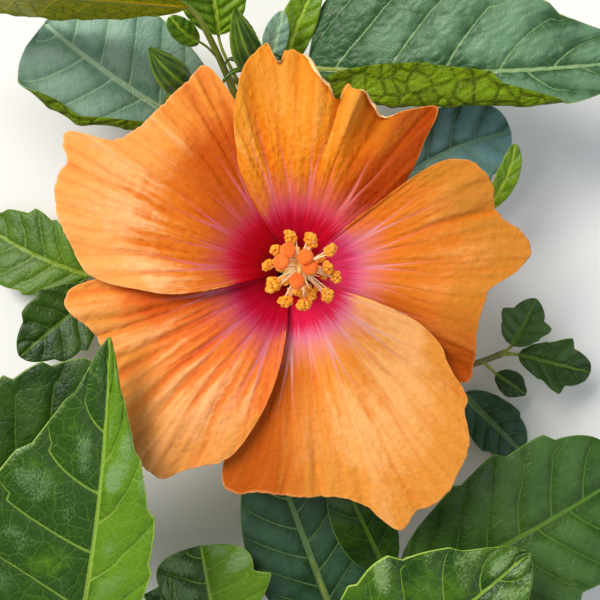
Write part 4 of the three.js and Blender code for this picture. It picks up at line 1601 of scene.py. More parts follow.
class LeafKind(Enum):
    """Kinds of leaf on the branch, each with the finish of its two faces."""

    GLOSSY = LeafFinish(
        "leaf_glossy_face", (40, 76, 2), (92, 130, 14), (138, 168, 58), (158, 186, 78), (128, 158, 106),
        roughness=0.34, network=0.22, painted_gloss=0.6, lit_half=0.34,
    )
    # A darker copy of the green face for the leaves that lie in shadow: painted shade.
    SHADY = LeafFinish(
        "leaf_shady_face", (20, 50, 0), (48, 80, 6), (80, 110, 26), (120, 150, 48), (96, 126, 76),
        roughness=0.42, network=0.12, painted_gloss=0.2,
    )
    OLIVE = LeafFinish(
        "leaf_olive_face", (28, 66, 2), (62, 100, 10), (138, 160, 60), (158, 180, 70), (150, 176, 150),
        roughness=0.34, back=BACKLIT_BACK,
    )
    BRIGHT = LeafFinish(
        "leaf_bright_face", (24, 60, 0), (66, 102, 4), (124, 154, 46), (160, 190, 70), (144, 170, 112),
        roughness=0.32, network=0.2, painted_gloss=0.65,
    )
    FRESH = LeafFinish(
        "leaf_fresh_face", (60, 94, 0), (90, 124, 2), (120, 146, 30), (140, 166, 50), (78, 120, 76),
        roughness=0.42, painted_sheen=0.12, network=0.16,
    )
    DULL = LeafFinish(
        "leaf_dull_face", (34, 68, 0), (60, 90, 4), (80, 114, 28), (84, 124, 30), (84, 122, 78),
        roughness=0.42, painted_sheen=0.25, network=0.1, vein_width=1.2,
    )
    BLUE = LeafFinish(
        "leaf_blue_face", (38, 76, 34), (86, 124, 80), (136, 164, 108), (130, 160, 66), (122, 156, 124),
        roughness=0.44, painted_sheen=0.5, network=0.1, foot=0.85, back=BLUE_BACK,
    )
    GREY = LeafFinish(
        "leaf_grey_face", (92, 130, 104), (134, 164, 130), (156, 184, 146), (130, 162, 88), (146, 174, 162),
        roughness=0.5, painted_sheen=0.5, network=0.05, vein_width=1.5, back=BLUE_BACK,
    )
    DEEP = LeafFinish(
        "leaf_deep_face", (24, 56, 18), (54, 86, 44), (96, 126, 74), (72, 112, 30), (60, 96, 84),
        roughness=0.46, painted_sheen=0.4, network=0.06, vein_width=1.5, back=BLUE_BACK,
    )
    TEAL = LeafFinish(
        "leaf_teal_face", (28, 62, 28), (88, 128, 112), (100, 138, 118), (80, 120, 66), (104, 146, 150),
        roughness=0.46, painted_sheen=0.8, network=0.06, vein_width=1.3, lit_half=0.5, back=BLUE_BACK,
    )
    YOUNG = LeafFinish(
        "leaf_young_face", (58, 98, 0), (108, 142, 8), (152, 174, 50), (168, 186, 60), (160, 186, 100),
        roughness=0.4, back=YOUNG_BACK,
    )


@dataclass(frozen=True)
class Turned:
    """A side of a leaf that turns over at a distance from the midrib, through an angle.

    Below its knee the fold line comes in towards the base, and flap is how far the side
    runs on at most beyond the bend.
    """

    start: float
    angle: float
    knee: float = 0.0
    flap: float = math.inf

    RADIUS = 2.6
    SWEEP = 1.7

    @property
    def arc(self) -> float:
        """Length of the bend."""
        return math.radians(self.angle) * self.RADIUS

    def fold_line(self, t: Values) -> Values:
        """Distance of the fold line from the midrib, t from base to tip."""
        grown = np.minimum(1, t / self.knee) ** self.SWEEP if self.knee else np.ones_like(t)
        return self.start * grown


FLAT = Turned(99.0, 0.0)


@dataclass(frozen=True)
class Leaf:
    """One leaf: its place, the bend of its midrib, its outline and how it folds.

    arch lifts the middle of the midrib, sweep bends it to its left, roll turns the blade
    about it and fold lifts both halves. draw narrows the blade towards a drawn-out tip
    and jag scales its teeth.
    """

    name: str
    base: Point
    tip: Point
    arch: float
    sweep: float
    half: float
    widest: float
    kind: LeafKind
    limb: str
    at: float
    roll: float = 0.0
    fold: float = 6.0
    round_base: float = 0.62
    draw: float = 0.0
    teeth: int = 0
    jag: float = 1.0
    left: Turned = FLAT
    right: Turned = FLAT
    right_share: float = 1.0
    ease: float = 0.3
    stalk: float = 1.0
    quilt: float = 0.35
    pucker: float = 0.05
    cell: float = 3.2
    veins: int = 8

    UNIT = 20
    END = 0.3
    TOOTH_RISE = 0.11
    TOOTH_STEEP = 0.85
    TOOTH_BASE = 0.03
    VEIN_SLOPE = 0.26
    RIB_DEPTH = 0.2
    RIB_WIDTH = 0.9
    MIDRIB_DEPTH = 0.3
    MIDRIB_WIDTH = 1.1
    WAVE_HEIGHT = 0.7

    @property
    def length(self) -> float:
        """Straight length from base to tip."""
        return math.dist(self.base, self.tip)

    def midrib(self, t: Values) -> Values:
        """Places along the midrib.

        Args:
            t: Shares of the length.

        Returns:
            The places, as an n by 3 array.
        """
        start, end = np.array(self.base), np.array(self.tip)
        left = unit(np.cross(UP, end - start))
        bulge = (4 * t * (1 - t))[:, None]
        return start + (end - start) * t[:, None] + UP * self.arch * bulge + left * self.sweep * bulge

    def half_width(self, t: Values) -> Values:
        """Half width of the blade, teeth included.

        Args:
            t: Shares of the length.

        Returns:
            The half width in millimetres.
        """
        end = self.round_base * (1 - self.widest) / self.widest
        rise = (t / self.widest) ** self.round_base
        fall = ((1 - t) / (1 - self.widest)) ** end
        drawn = 1 - self.draw * smooth(self.widest, 1, t)
        return self.half * rise * fall * drawn * self._teeth(t) + self.END

    def _teeth(self, t: Values) -> Values:
        """How far the margin stands out at each tooth.

        Args:
            t: Shares of the length.

        Returns:
            A factor for the half width.
        """
        if not self.teeth:
            return np.ones_like(t)
        saw = (t * self.teeth) % 1
        back = (1 - saw) / (1 - self.TOOTH_STEEP)
        out = np.where(saw < self.TOOTH_STEEP, saw / self.TOOTH_STEEP, back)
        return 1 + self.TOOTH_RISE * self.jag * out * smooth(0.22, 0.5, t) - self.TOOTH_BASE

    def _sides(self, u: Values, v: Values) -> tuple[Values, Values, Values]:
        """How each place's side of the blade is turned.

        Args:
            u: Shares across, from the left margin.
            v: Shares of the length.

        Returns:
            The side's width, the distance of its fold line and the length of its bend.
        """
        rightward = u > 0.5
        start = np.where(rightward, self.right.fold_line(v), self.left.fold_line(v))
        arc = np.where(rightward, self.right.arc, self.left.arc)
        flap = np.where(rightward, self.right.flap, self.left.flap)
        natural = self.half_width(v) * np.where(rightward, self.right_share, 1)
        return np.minimum(natural, start + arc + flap), start, arc

    def surface(self, u: Values, v: Values) -> Values:
        """The blade's middle surface.

        Args:
            u: Shares across, from the left margin.
            v: Shares of the length.

        Returns:
            The places, as an n by 3 array.
        """
        side, step = 1 - 2 * u, 1e-3
        along = unit(self.midrib(np.minimum(v + step, 1)) - self.midrib(np.maximum(v - step, 0)))
        flat_left = unit(np.cross(UP, along))
        turn = math.radians(self.roll)
        left = flat_left * math.cos(turn) + np.cross(along, flat_left) * math.sin(turn)
        up = np.cross(along, left)
        wide, start, arc = self._sides(u, v)
        distance = np.abs(side) * wide
        fold = math.radians(self.fold)
        flat = np.minimum(distance, start)
        bend = np.minimum(distance - flat, arc)
        flap = distance - flat - bend
        angle = fold + bend / Turned.RADIUS
        out = flat * math.cos(fold) + flap * np.cos(angle)
        out += Turned.RADIUS * (np.sin(angle) - math.sin(fold))
        rise = flat * math.sin(fold) + flap * np.sin(angle)
        rise -= Turned.RADIUS * (np.cos(angle) - math.cos(fold))
        sign = np.where(side < 0, -1, 1)
        return self.midrib(v) + left * (sign * out)[:, None] + up * rise[:, None]

    def vein_map(self, u: Values, v: Values, middle: Values) -> tuple[Values, Values]:
        """Where a place lies among the side veins, for each face corner.

        Args:
            u: Shares across, from the left margin.
            v: Shares of the length.
            middle: The same as u, for the middle of the corner's face.

        Returns:
            The order along the side veins and the share of the half width.
        """
        side = np.abs(1 - 2 * u)
        offset = np.where(middle > 0.5, 0.5, 0.0)
        return (v - self.VEIN_SLOPE * side**1.25 * (1 - 0.35 * v)) * self.veins + offset, side

    def distance(self, u: Values, v: Values) -> Values:
        """Distance from the midrib over the blade, less than 0 on the right side."""
        return (1 - 2 * u) * self._sides(u, v)[0]

    def blade_map(self, u: Values, v: Values, _: Values) -> tuple[Values, Values]:
        """Distances over the blade from the midrib and the base, in units of UNIT millimetres."""
        return self.distance(u, v) / self.UNIT, v * self.length / self.UNIT

    def middle_map(self, u: Values, v: Values, _: Values) -> tuple[Values, Values]:
        """Distance from the midrib in millimetres and the share of the length."""
        return self.distance(u, v), v

    def cells(self, u: Values, v: Values) -> Values:
        """How near each place is to a vein of the network, 0 on it and 1 inside a cell."""
        along = self.vein_map(u, v, u)[0] * (self.length / self.veins) / self.cell
        away = np.abs(self.distance(u, v)) / self.cell + 7 * (u > 0.5)
        return cell_walls(along, away, len(self.name) + self.half)

    def dome(self, u: Values, v: Values) -> Values:
        """How high the blade stands between two side veins, 0 to 1."""
        order, side = self.vein_map(u, v, u)
        return (1 - (1 - 2 * np.abs(order % 1.0 - 0.5)) ** 2) * smooth(0, 0.25, side)

    def relief(self, u: Values, v: Values) -> Values:
        """Grooved veins, domes between them, puckers of the network and broad waves.

        Args:
            u: Shares across, from the left margin.
            v: Shares of the length.

        Returns:
            The height in millimetres.
        """
        order, side = self.vein_map(u, v, u)
        distance = np.abs(self.distance(u, v))
        away = np.abs(order % 1.0 - 0.5) * self.length / self.veins
        rib = self.RIB_DEPTH * np.exp(-((away / self.RIB_WIDTH) ** 2)) * smooth(0, 0.06, side)
        midrib = self.MIDRIB_DEPTH * np.exp(-((distance / self.MIDRIB_WIDTH) ** 2)) * (1 - v)
        across, along = distance / 10 + 9 * (u > 0.5), v * self.length / 12
        waves = self.WAVE_HEIGHT * soft_noise(across, along, self.half) * smooth(0.1, 0.6, side)
        fine = self.pucker * self.cells(u, v) + self.quilt * self.dome(u, v)
        return fine * (1 - smooth(0.9, 1, side)) - rib - midrib + waves


LEAVES = (
    Leaf(
        "leaf_top_right", (4, 60, 31), (111, 63, 37), 11, -5, 33, 0.28,
        LeafKind.BLUE, "main_stem", 0.955,
        fold=4, round_base=0.3, draw=0.65, teeth=6, right_share=0.78, right=Turned(8, 172), quilt=0.6,
        pucker=0.45, cell=3.2, veins=7,
    ),
    Leaf(
        "leaf_top_left", (-29, 71.5, 58), (-110, 77, 48), 6, 0, 21, 0.5,
        LeafKind.OLIVE, "main_stem", 0.9,
        roll=95, fold=2, teeth=7, ease=0.08, stalk=1.25, veins=7,
    ),
    Leaf(
        "leaf_upper_left", (-22, 39, 22), (-73, 73, 31), 4, 2, 24.5, 0.6,
        LeafKind.GREY, "main_stem", 0.86,
        fold=-2, round_base=0.5, right_share=0.9, left=Turned(15.5, 172, knee=0.6, flap=1), veins=6,
        quilt=0.5,
    ),
    Leaf(
        "leaf_lower_left", (-64, -117, 44), (-48, -17.5, 70), 4, -3, 36, 0.42,
        LeafKind.GLOSSY, "twig_lower_left", 0.57,
        fold=12, draw=0.6, teeth=7, right_share=0.46, veins=6, quilt=0.6, pucker=0.1,
    ),
    Leaf(
        "leaf_left_behind", (-101, -70, 37), (-41, -33, 46), 5, 3, 20, 0.5,
        LeafKind.SHADY, "twig_lower_left", 0.98,
        teeth=7, veins=6, quilt=0.5,
    ),
    Leaf(
        "leaf_bottom", (12, -122, 38), (65, -77.5, 51), 5, 0, 25, 0.46,
        LeafKind.BRIGHT, "main_stem", 0.1,
        fold=8, draw=0.35, teeth=5, veins=6, quilt=0.6, pucker=0.12,
    ),
    Leaf(
        "leaf_lower_right", (33, -95, 25), (98, -58, 30), 6, 0, 23, 0.55,
        LeafKind.DULL, "main_stem", 0.25,
        fold=4, round_base=0.5, teeth=5, veins=7, quilt=0.5,
    ),
    Leaf(
        "leaf_bottom_centre", (13, -107, 18), (-9.6, -44.6, 24), 4, 0, 17.5, 0.42,
        LeafKind.DEEP, "main_stem", 0.17,
        veins=7,
    ),
    Leaf(
        "leaf_bottom_inner", (27, -88, 28), (11.5, -54, 37), 2, 0, 8.6, 0.45,
        LeafKind.SHADY, "main_stem", 0.3,
        fold=8, veins=5, quilt=0.2,
    ),
    Leaf(
        "leaf_bottom_left", (-21, -117, 20), (-27.5, -80, 29), 3, 0, 15, 0.6,
        LeafKind.GLOSSY, "twig_lower_left", 0.28,
        teeth=4, jag=3, veins=5,
    ),
    Leaf(
        "leaf_bottom_left_small", (-31, -112, 27), (-36, -88, 35), 2, 1, 4, 0.45,
        LeafKind.BRIGHT, "twig_lower_left", 0.36,
        roll=-35, fold=24, veins=4,
    ),
    Leaf(
        "leaf_left_low", (-64, 0, 9), (-102, 19, 0.25), 3, 2, 12, 0.45,
        LeafKind.FRESH, "twig_left", 0.97,
        fold=5, draw=0.3, teeth=5, jag=1.6, veins=6,
    ),
    Leaf(
        "leaf_left_low_small", (-60, -5, 10), (-84, -25, 14), 2, 0, 10.5, 0.5,
        LeafKind.SHADY, "twig_left", 0.92,
        draw=0.3, teeth=4, jag=1.6, veins=5,
    ),
    Leaf(
        "leaf_right_shoot_up", (66, -21.5, 17), (72.5, -7.5, 21), 1, 0, 6.4, 0.45,
        LeafKind.DULL, "twig_right", 0.96,
        roll=10, draw=0.3, teeth=3, jag=4, veins=4, quilt=0.25,
    ),
    Leaf(
        "leaf_right_shoot_out", (68.5, -24.5, 15), (90.5, -30, 13), 1.5, 0, 6.4, 0.55,
        LeafKind.SHADY, "twig_right", 0.97,
        fold=14, draw=0.4, teeth=3, jag=4, veins=4, quilt=0.25,
    ),
    Leaf(
        "leaf_right_shoot_small", (62, -30.5, 12.5), (71.5, -37, 9), 1, 0, 3.8, 0.5,
        LeafKind.SHADY, "twig_right", 0.88,
        fold=8, draw=0.5, veins=4, quilt=0.2,
    ),
    Leaf(
        "leaf_right_shoot_low", (52, -37, 10), (72, -56, 0.25), 1.5, 0, 7.8, 0.5,
        LeafKind.DEEP, "twig_right", 0.72,
        fold=5, teeth=3, veins=5, quilt=0.25,
    ),
    Leaf(
        "leaf_blue_right", (30, 27, 23), (64, 42, 26), 2, 2, 12.5, 0.55,
        LeafKind.TEAL, "twig_upper_right", 0.52,
        fold=4, teeth=4, veins=5,
    ),
    Leaf(
        "leaf_pale_right", (56.5, 19, 25), (64, 37.5, 33), 2, -1.5, 3.2, 0.5,
        LeafKind.YOUNG, "twig_upper_right", 0.97,
        roll=12, fold=14, veins=4, quilt=0.2,
    ),
    Leaf(
        "young_leaf_tall", (-22, 69, 35), (-26.5, 89, 43), 1, -1, 9.5, 0.5,
        LeafKind.YOUNG, "main_stem", 1,
        fold=14, teeth=3, veins=7, quilt=0.9,
    ),
    Leaf(
        "young_leaf_lobe", (-27.4, 66.5, 37), (-35, 72.4, 43), 1, 1, 3.2, 0.5,
        LeafKind.YOUNG, "main_stem", 0.975,
        fold=14, veins=4, quilt=0.3,
    ),
    Leaf(
        "young_leaf_pale", (-3, 60.5, 26), (7, 84, 35), 2, 1, 5, 0.5, LeafKind.YOUNG, "main_stem", 0.9,
        fold=12, veins=5, quilt=0.3,
    ),
    Leaf(
        "young_leaf_blue", (-7, 62, 33), (-3.3, 74.5, 40), 1, 0, 3.4, 0.45,
        LeafKind.GREY, "main_stem", 0.99,
        fold=10, veins=4, quilt=0.2,
    ),
)


@dataclass
class Foliage:
    """The leaves, each a thin blade on its stalk and midrib."""

    thickness: float = 0.4
    grain: float = 0.55
    least: int = 30
    large: float = 14.0
    stalk_large: tuple[float, float] = (1.0, 0.25)
    stalk_small: tuple[float, float] = (0.6, 0.2)
    stalk_grid: tuple[int, int] = (10, 60)
    collar: float = 0.35
    stalk_lift: float = 0.3
    stalk_lean: float = 0.12
    rib_drop: float = 0.35
    join_drop: float = 0.3

    def build(self) -> None:
        """Makes the leaves and their stalks."""
        faces = {kind: [kind.value.build(), kind.value.back.build()] for kind in LeafKind}
        stalk = LEAF_STALK.build()
        for leaf in LEAVES:
            slot, names = leaf.kind.value.back.slot, [leaf.name]
            sheet = Sheet(
                2 * max(self.least // 2, round(leaf.half / self.grain)),
                max(self.least, round(leaf.length / self.grain)),
                leaf.surface,
                leaf.relief,
                maps={"Blade": leaf.blade_map, "Middle": leaf.middle_map, "Veins": leaf.vein_map},
                shades={"net": leaf.cells, "dome": leaf.dome},
            )
            show(sheet.mesh(leaf.name + "_blade"), faces[leaf.kind], names, self.thickness)
            rib = limb_sheet(self._rib_path(leaf), self._rib_radius(leaf), *self.stalk_grid)
            show(rib.mesh(leaf.name + "_stalk"), [stalk], names)

    def _rib_radius(self, leaf: Leaf) -> Callable[[Values], Values]:
        """The radius of a leaf's stalk and midrib along their shared length.

        Args:
            leaf: The leaf.

        Returns:
            A function that gives the radius at shares of that length.
        """
        first, last = self.stalk_large if leaf.half > self.large else self.stalk_small
        first *= leaf.stalk
        collar = self.collar * first
        return lambda share: first + (last - first) * share + collar * np.exp(-share / COLLAR_FADE)

    def _rib_path(self, leaf: Leaf) -> Path:
        """The stalk from its limb to the blade, then the midrib under the blade.

        Args:
            leaf: The leaf.

        Returns:
            The middle line of both.
        """
        foot = LIMBS[leaf.limb].path.at(np.array([leaf.at]))[0]
        base, ahead = leaf.midrib(np.array([0.0, 0.08]))
        reach = np.linalg.norm(base - foot)
        raised = foot + UP * self.stalk_lift * reach
        lift = raised * (1 - self.stalk_lean) + base * self.stalk_lean
        before = base - unit(ahead - base) * leaf.ease * reach
        stalk = swept((foot, lift, before, base), 8)
        under = leaf.midrib(np.linspace(0.1, 0.94, 9)) - UP * (self.thickness / 2 + self.rib_drop)
        return Path([*stalk[:-1], base - UP * self.join_drop, *under])


@dataclass(frozen=True)
class GrainFinish:
    """A small rough or velvety thing, such as pollen or a stigma."""

    name: str
    light: Colour
    dark: Colour
    scale: float
    depth: float
    roughness: float = 0.75

    def build(self) -> Material:
        """Makes the material.

        Returns:
            The finished material.
        """
        bench = Bench(self.name)
        place = bench.place()
        grains = bench.grain(place, self.scale, 3.0)
        broad = bench.grain(place, self.scale / 6, 2.0)
        colour = bench.mix((grains * 0.6 + broad * 0.4).rise(0.36, 0.62), self.dark, self.light)
        return bench.finish(colour, self.roughness, grains, self.depth, shine=0.3)


POLLEN = GrainFinish("anther_pollen", (250, 170, 50), (230, 128, 14), 1500, 0.14)
FILAMENT = GrainFinish("filament_cream", (252, 232, 190), (244, 196, 150), 500, 0.02, 0.4)
COLUMN_SKIN = GrainFinish("column_skin", (254, 220, 132), (246, 178, 84), 420, 0.03, 0.42)
VELVET = GrainFinish("stigma_velvet", (252, 124, 46), (238, 90, 20), 2400, 0.14, 0.85)


@dataclass(frozen=True)
class Clump:
    """A knobbly clump of anthers: its place, its size and the filaments that carry it."""

    place: Point
    size: float
    threads: int = 5


@dataclass
class Stamens:
    """The staminal column with its filaments and anthers."""

    foot: float = 30.9
    top: float = 101.0
    radii: Spline = Spline(((30.9, 3.6), (37, 3.7), (43, 2.9), (55, 2.1), (85, 1.5), (101, 1.15)))
    ring: tuple[Clump, ...] = (
        Clump((-0.6, 6.9, 102.4), 1.98), Clump((4.1, 6.3, 102.0), 1.98), Clump((-4.0, 4.1, 102.2), 1.64),
        Clump((-5.9, 0.4, 101.6), 1.75), Clump((-4.7, -4.2, 100.6), 2.2), Clump((-1.8, -8.0, 99.8), 1.81),
        Clump((2.6, -8.7, 99.6), 1.98), Clump((4.4, -6.6, 100.8), 1.53, 2), Clump((8.1, -6.6, 99.8), 1.92),
        Clump((10.0, -2.3, 100.0), 1.69), Clump((8.1, -0.2, 101.4), 1.75, 2), Clump((8.8, 3.9, 101.0), 1.81),
        Clump((1.0, -5.9, 101.2), 1.24, 1),
    )
    column_grid: tuple[int, int] = (32, 150)
    thread_grid: tuple[int, int] = (6, 8)
    first: float = 0.8
    last: float = 0.99
    lower_drop: float = 10.5
    lower_share: float = 0.66
    lower_size: float = 0.7
    thread_drop: float = 2.2
    thread_spread: float = 0.035
    thread_radius: float = 0.18
    grains: int = 20
    grain_share: float = 0.35
    clump_shape: Point = (0.85, 0.62, 0.5)

    GOLDEN_ANGLE = math.pi * (3 - math.sqrt(5))

    @property
    def path(self) -> Path:
        """The column's middle line."""
        return Path(((0, 0, self.foot), (0, 0, 45), (0.9, -0.6, 68), (2.0, -0.9, 88), (1.6, 0.6, self.top)))

    def build(self) -> None:
        """Makes the column, its filaments and its anthers."""
        path = self.path
        height = self.top - self.foot
        column = limb_sheet(
            path, lambda share: self.radii(self.foot + share * height), *self.column_grid, self._ridges
        )
        skin, thread, pollen = COLUMN_SKIN.build(), FILAMENT.build(), POLLEN.build()
        show(column.mesh("staminal_column_tube"), [skin], ["staminal_column"])
        full = [clump for clump in self.ring if clump.threads > 1]
        clumps = [*self.ring, *(self._lower(clump, path) for clump in full)]
        threads = self._threads(clumps, path)
        show(joined(threads, "filaments"), [thread], ["staminal_column"])
        show(self._anthers(clumps), [pollen], ["staminal_column"])

    @staticmethod
    def _ridges(u: Values, v: Values) -> Values:
        """Five low ridges along the column, broken by small bumps."""
        bumps = soft_noise(np.cos(u * 2 * math.pi) * 3, v * 30 + np.sin(u * 2 * math.pi) * 3, 8.0)
        return 0.08 * np.cos(u * 2 * math.pi * 5) + 0.06 * bumps

    def _lower(self, clump: Clump, path: Path) -> Clump:
        """A smaller clump lower on the column, under one of the ring.

        Args:
            clump: The clump above.
            path: The column's middle line.

        Returns:
            The clump, with one filament.
        """
        middle = path.at(np.array([self.first]))[0][:2]
        place = np.array(clump.place)
        near = middle + (place[:2] - middle) * self.lower_share
        return Clump((*near, place[2] - self.lower_drop), clump.size * self.lower_size, 1)

    def _threads(self, clumps: Sequence[Clump], path: Path) -> list[Mesh]:
        """The filaments: each clump's leave the column close together and spread a little.

        Args:
            clumps: The anther clumps that they carry.
            path: The column's middle line.

        Returns:
            A mesh for each filament.
        """
        draw = random.Random(11)
        threads = []
        for clump in clumps:
            tip = np.array(clump.place)
            height = (tip[2] - self.thread_drop - self.foot) / (self.top - self.foot)
            for _ in range(clump.threads):
                share = min(self.last, height - draw.uniform(0, self.thread_spread))
                foot = path.at(np.array([share]))[0]
                end = tip + np.array([draw.uniform(-0.5, 0.5) * clump.size for _ in range(3)])
                middle = foot * 0.5 + end * 0.5 + UP * draw.uniform(0.1, 0.7)
                sheet = limb_sheet(Path((foot, middle, end)), self._thread_radius, *self.thread_grid)
                threads.append(sheet.mesh(f"filament_{len(threads)}"))
        return threads

    def _thread_radius(self, share: Values) -> Values:
        """Radius along a filament, thinner towards its anther."""
        return self.thread_radius * (1.25 - 0.4 * share)

    def _anthers(self, clumps: Sequence[Clump]) -> Mesh:
        """Every anther clump: pollen grains packed in a flattened ball.

        Args:
            clumps: The clumps.

        Returns:
            One mesh of all the grains.
        """
        block = bmesh.new()
        draw = random.Random(7)
        for clump in clumps:
            seat = Matrix.Translation(Vector(clump.place) + Vector((*BLOOM_AXIS, 0)))
            turned = Matrix.Rotation(draw.uniform(0, 2 * math.pi), 4, "Z")
            for grain in range(self.grains):
                high = 1 - 2 * (grain + 0.5) / self.grains
                level = math.sqrt(1 - high * high) * draw.uniform(0.7, 1.0)
                turn = grain * self.GOLDEN_ANGLE
                ball = Vector((level * math.cos(turn), level * math.sin(turn), high))
                spot = ball * Vector(self.clump_shape) * clump.size
                radius = clump.size * self.grain_share * draw.uniform(0.7, 1.1)
                place = Matrix.Scale(MM, 4) @ seat @ turned @ Matrix.Translation(spot)
                bmesh.ops.create_icosphere(block, subdivisions=2, radius=radius, matrix=place)
        return settled(block, "anthers")


@dataclass
class Pistil:
    """The style's short branches, each with a velvety pad at its end."""

    neck: tuple[Point, ...] = ((1.6, 0.6, 100.6), (1.4, 0.9, 103))
    fork: Point = (1.4, 0.9, 102.2)
    bend: Point = (2.0, 1.0, 104)
    pads: tuple[Point, ...] = (
        (-1.2, 3.6, 105.6), (-2.8, 1.0, 106.2), (2.9, 2.2, 105.4), (4.0, -0.2, 104.6), (0.9, -3.4, 105.8),
    )
    pads_middle: tuple[float, float] = (1.0, 0.6)
    pad_radius: float = 1.95
    pad_height: float = 0.85
    pad_lean: float = 0.16
    pad_grid: tuple[int, int] = (48, 28)
    bump_pace: float = 7.5
    bump_depth: float = 0.1
    under_share: float = 0.75
    neck_radius: float = 0.75
    branch_radius: float = 0.42

    def build(self) -> None:
        """Makes the style and its pads."""
        neck = limb_sheet(Path(self.neck), lambda share: self.neck_radius + 0 * share, 14, 6)
        stalks = [neck.mesh("style_neck")]
        for index, pad in enumerate(self.pads):
            bend = ((pad[0] + self.bend[0]) / 2, (pad[1] + self.bend[1]) / 2, self.bend[2])
            path = Path((self.fork, bend, (pad[0], pad[1], pad[2] - 0.3)))
            sheet = limb_sheet(path, lambda share: self.branch_radius * (1 + 0.5 * share**2), 10, 14)
            stalks.append(sheet.mesh(f"style_branch_{index}"))
        show(joined(stalks, "style_branches"), [COLUMN_SKIN.build()], ["style"])
        show(self._pads(), [VELVET.build()], ["style"])

    def _pads(self) -> Mesh:
        """Five domed pads, covered with fine bumps and leaning outwards.

        Returns:
            One mesh of the five.
        """
        block = bmesh.new()
        middle = Vector((*self.pads_middle, 0))
        turns, rings = self.pad_grid
        for index, pad in enumerate(self.pads):
            ball = bmesh.ops.create_uvsphere(block, u_segments=turns, v_segments=rings, radius=1.0)
            dome = ball["verts"]
            for vert in dome:
                bumps = noise.voronoi(vert.co * self.bump_pace + Vector((index * 5.1, 0, 0)))[0][0]
                broad = noise.noise(vert.co * 1.6 + Vector((index * 2.3, 0, 0)))
                vert.co *= 1.03 - self.bump_depth * bumps + 0.05 * broad
                if vert.co.z < 0:
                    vert.co.z *= self.under_share
            lean = Vector((pad[0], pad[1], 0)) - middle
            axis = Vector((-lean.y, lean.x, 0)).normalized()
            tilt = Matrix.Rotation(self.pad_lean, 4, axis)
            scale = Matrix.Diagonal((self.pad_radius, self.pad_radius, self.pad_height, 1))
            seat = Matrix.Translation(Vector(pad) + Vector((*BLOOM_AXIS, 0)))
            bmesh.ops.transform(block, matrix=Matrix.Scale(MM, 4) @ seat @ tilt @ scale, verts=dome)
        return settled(block, "stigma_pads")


@dataclass(frozen=True)
class SepalFinish:
    """Calyx, bracts and buds: ribbed green with yellow-green edges."""

    name: str = "sepal_green"
    dark: Colour = (38, 72, 4)
    light: Colour = (104, 136, 16)
    rib: Colour = (162, 172, 44)

    def build(self) -> Material:
        """Makes the material.

        Returns:
            The finished material.
        """
        bench = Bench(self.name)
        place = bench.place()
        mottle = bench.grain(place, 260, 3.0)
        rib = bench.shade("rib")
        # Lighter along the ribs and darker between them: partly the ribs' own yellow-green, partly painted
        # light on the ribs and painted shade in the grooves.
        colour = bench.mix((mottle * 0.7 + rib * 0.5).rise(0.3, 0.75), self.dark, self.light)
        colour = bench.mix(rib.rise(0.6, 1.0) * 0.7, colour, self.rib)
        fine = bench.grain(place, 1500, 2.0)
        return bench.finish(colour, 0.42 + mottle * 0.15, fine, 0.06, shine=0.45)


@dataclass
class CalyxCup:
    """The cup of five joined sepals under the petals."""

    profile: Spline = Spline(((0, 0.05), (0.12, 2.2), (0.3, 5.1), (0.5, 6.95), (0.75, 8.2), (1, 9.0)))
    heights: Spline = Spline(((0, 28.6), (0.12, 28.8), (0.3, 30.4), (0.5, 33.6), (0.75, 38.2), (1, 43)))
    lobe_rise: float = 4.5
    lobe_spread: float = 3.4
    lobe_start: float = 0.6
    rib_width: float = 0.1
    rib_height: float = 0.22
    thickness: float = 0.8
    sepals: int = 5
    grid: tuple[int, int] = (160, 60)

    def build(self, finish: Material) -> None:
        """Makes the cup."""
        shades = {"rib": self._rib}
        sheet = Sheet(*self.grid, self._surface, self._relief, wrapped=True, shades=shades)
        show(sheet.mesh("calyx_cup"), [finish], ["calyx"], self.thickness)

    def _lobe(self, u: Values) -> Values:
        """1 in the middle of a sepal, 0 between two."""
        turn = u * self.sepals
        return 1 - 2 * np.abs(turn - np.round(turn))

    def _surface(self, u: Values, v: Values) -> Values:
        """The cup, drawn out into five points.

        Args:
            u: Shares of a turn round the cup.
            v: Shares of the way up.

        Returns:
            The places, as an n by 3 array.
        """
        high = smooth(self.lobe_start, 1, v) * self._lobe(u)
        radius = self.profile(v) + self.lobe_spread * high
        turn = u * 2 * math.pi
        height = self.heights(v) + self.lobe_rise * high
        return np.stack([radius * np.cos(turn), radius * np.sin(turn), height], axis=1)

    def _rib(self, u: Values, v: Values) -> Values:
        """1 along the ribs: one up each sepal and one where two meet."""
        turn = u * self.sepals * 2
        return np.exp(-(((turn - np.round(turn)) / self.rib_width) ** 2)) + 0 * v

    def _relief(self, u: Values, v: Values) -> Values:
        """Ribs that stand out a little."""
        return self.rib_height * self._rib(u, v) * smooth(0.05, 0.3, v)


def keel(u: Values, v: Values) -> Values:
    """1 along the middle of a bract, 0 at its sides."""
    return np.exp(-(((2 * u - 1) / KEEL_WIDTH) ** 2)) + 0 * v


def bract_sheet(surface: Surface, rows: int) -> Sheet:
    """A narrow bract with a sunk keel along its middle."""
    shades = {"rib": keel}
    return Sheet(BRACT_COLUMNS, rows, surface, lambda u, v: -KEEL_DEPTH * keel(u, v), shades=shades)


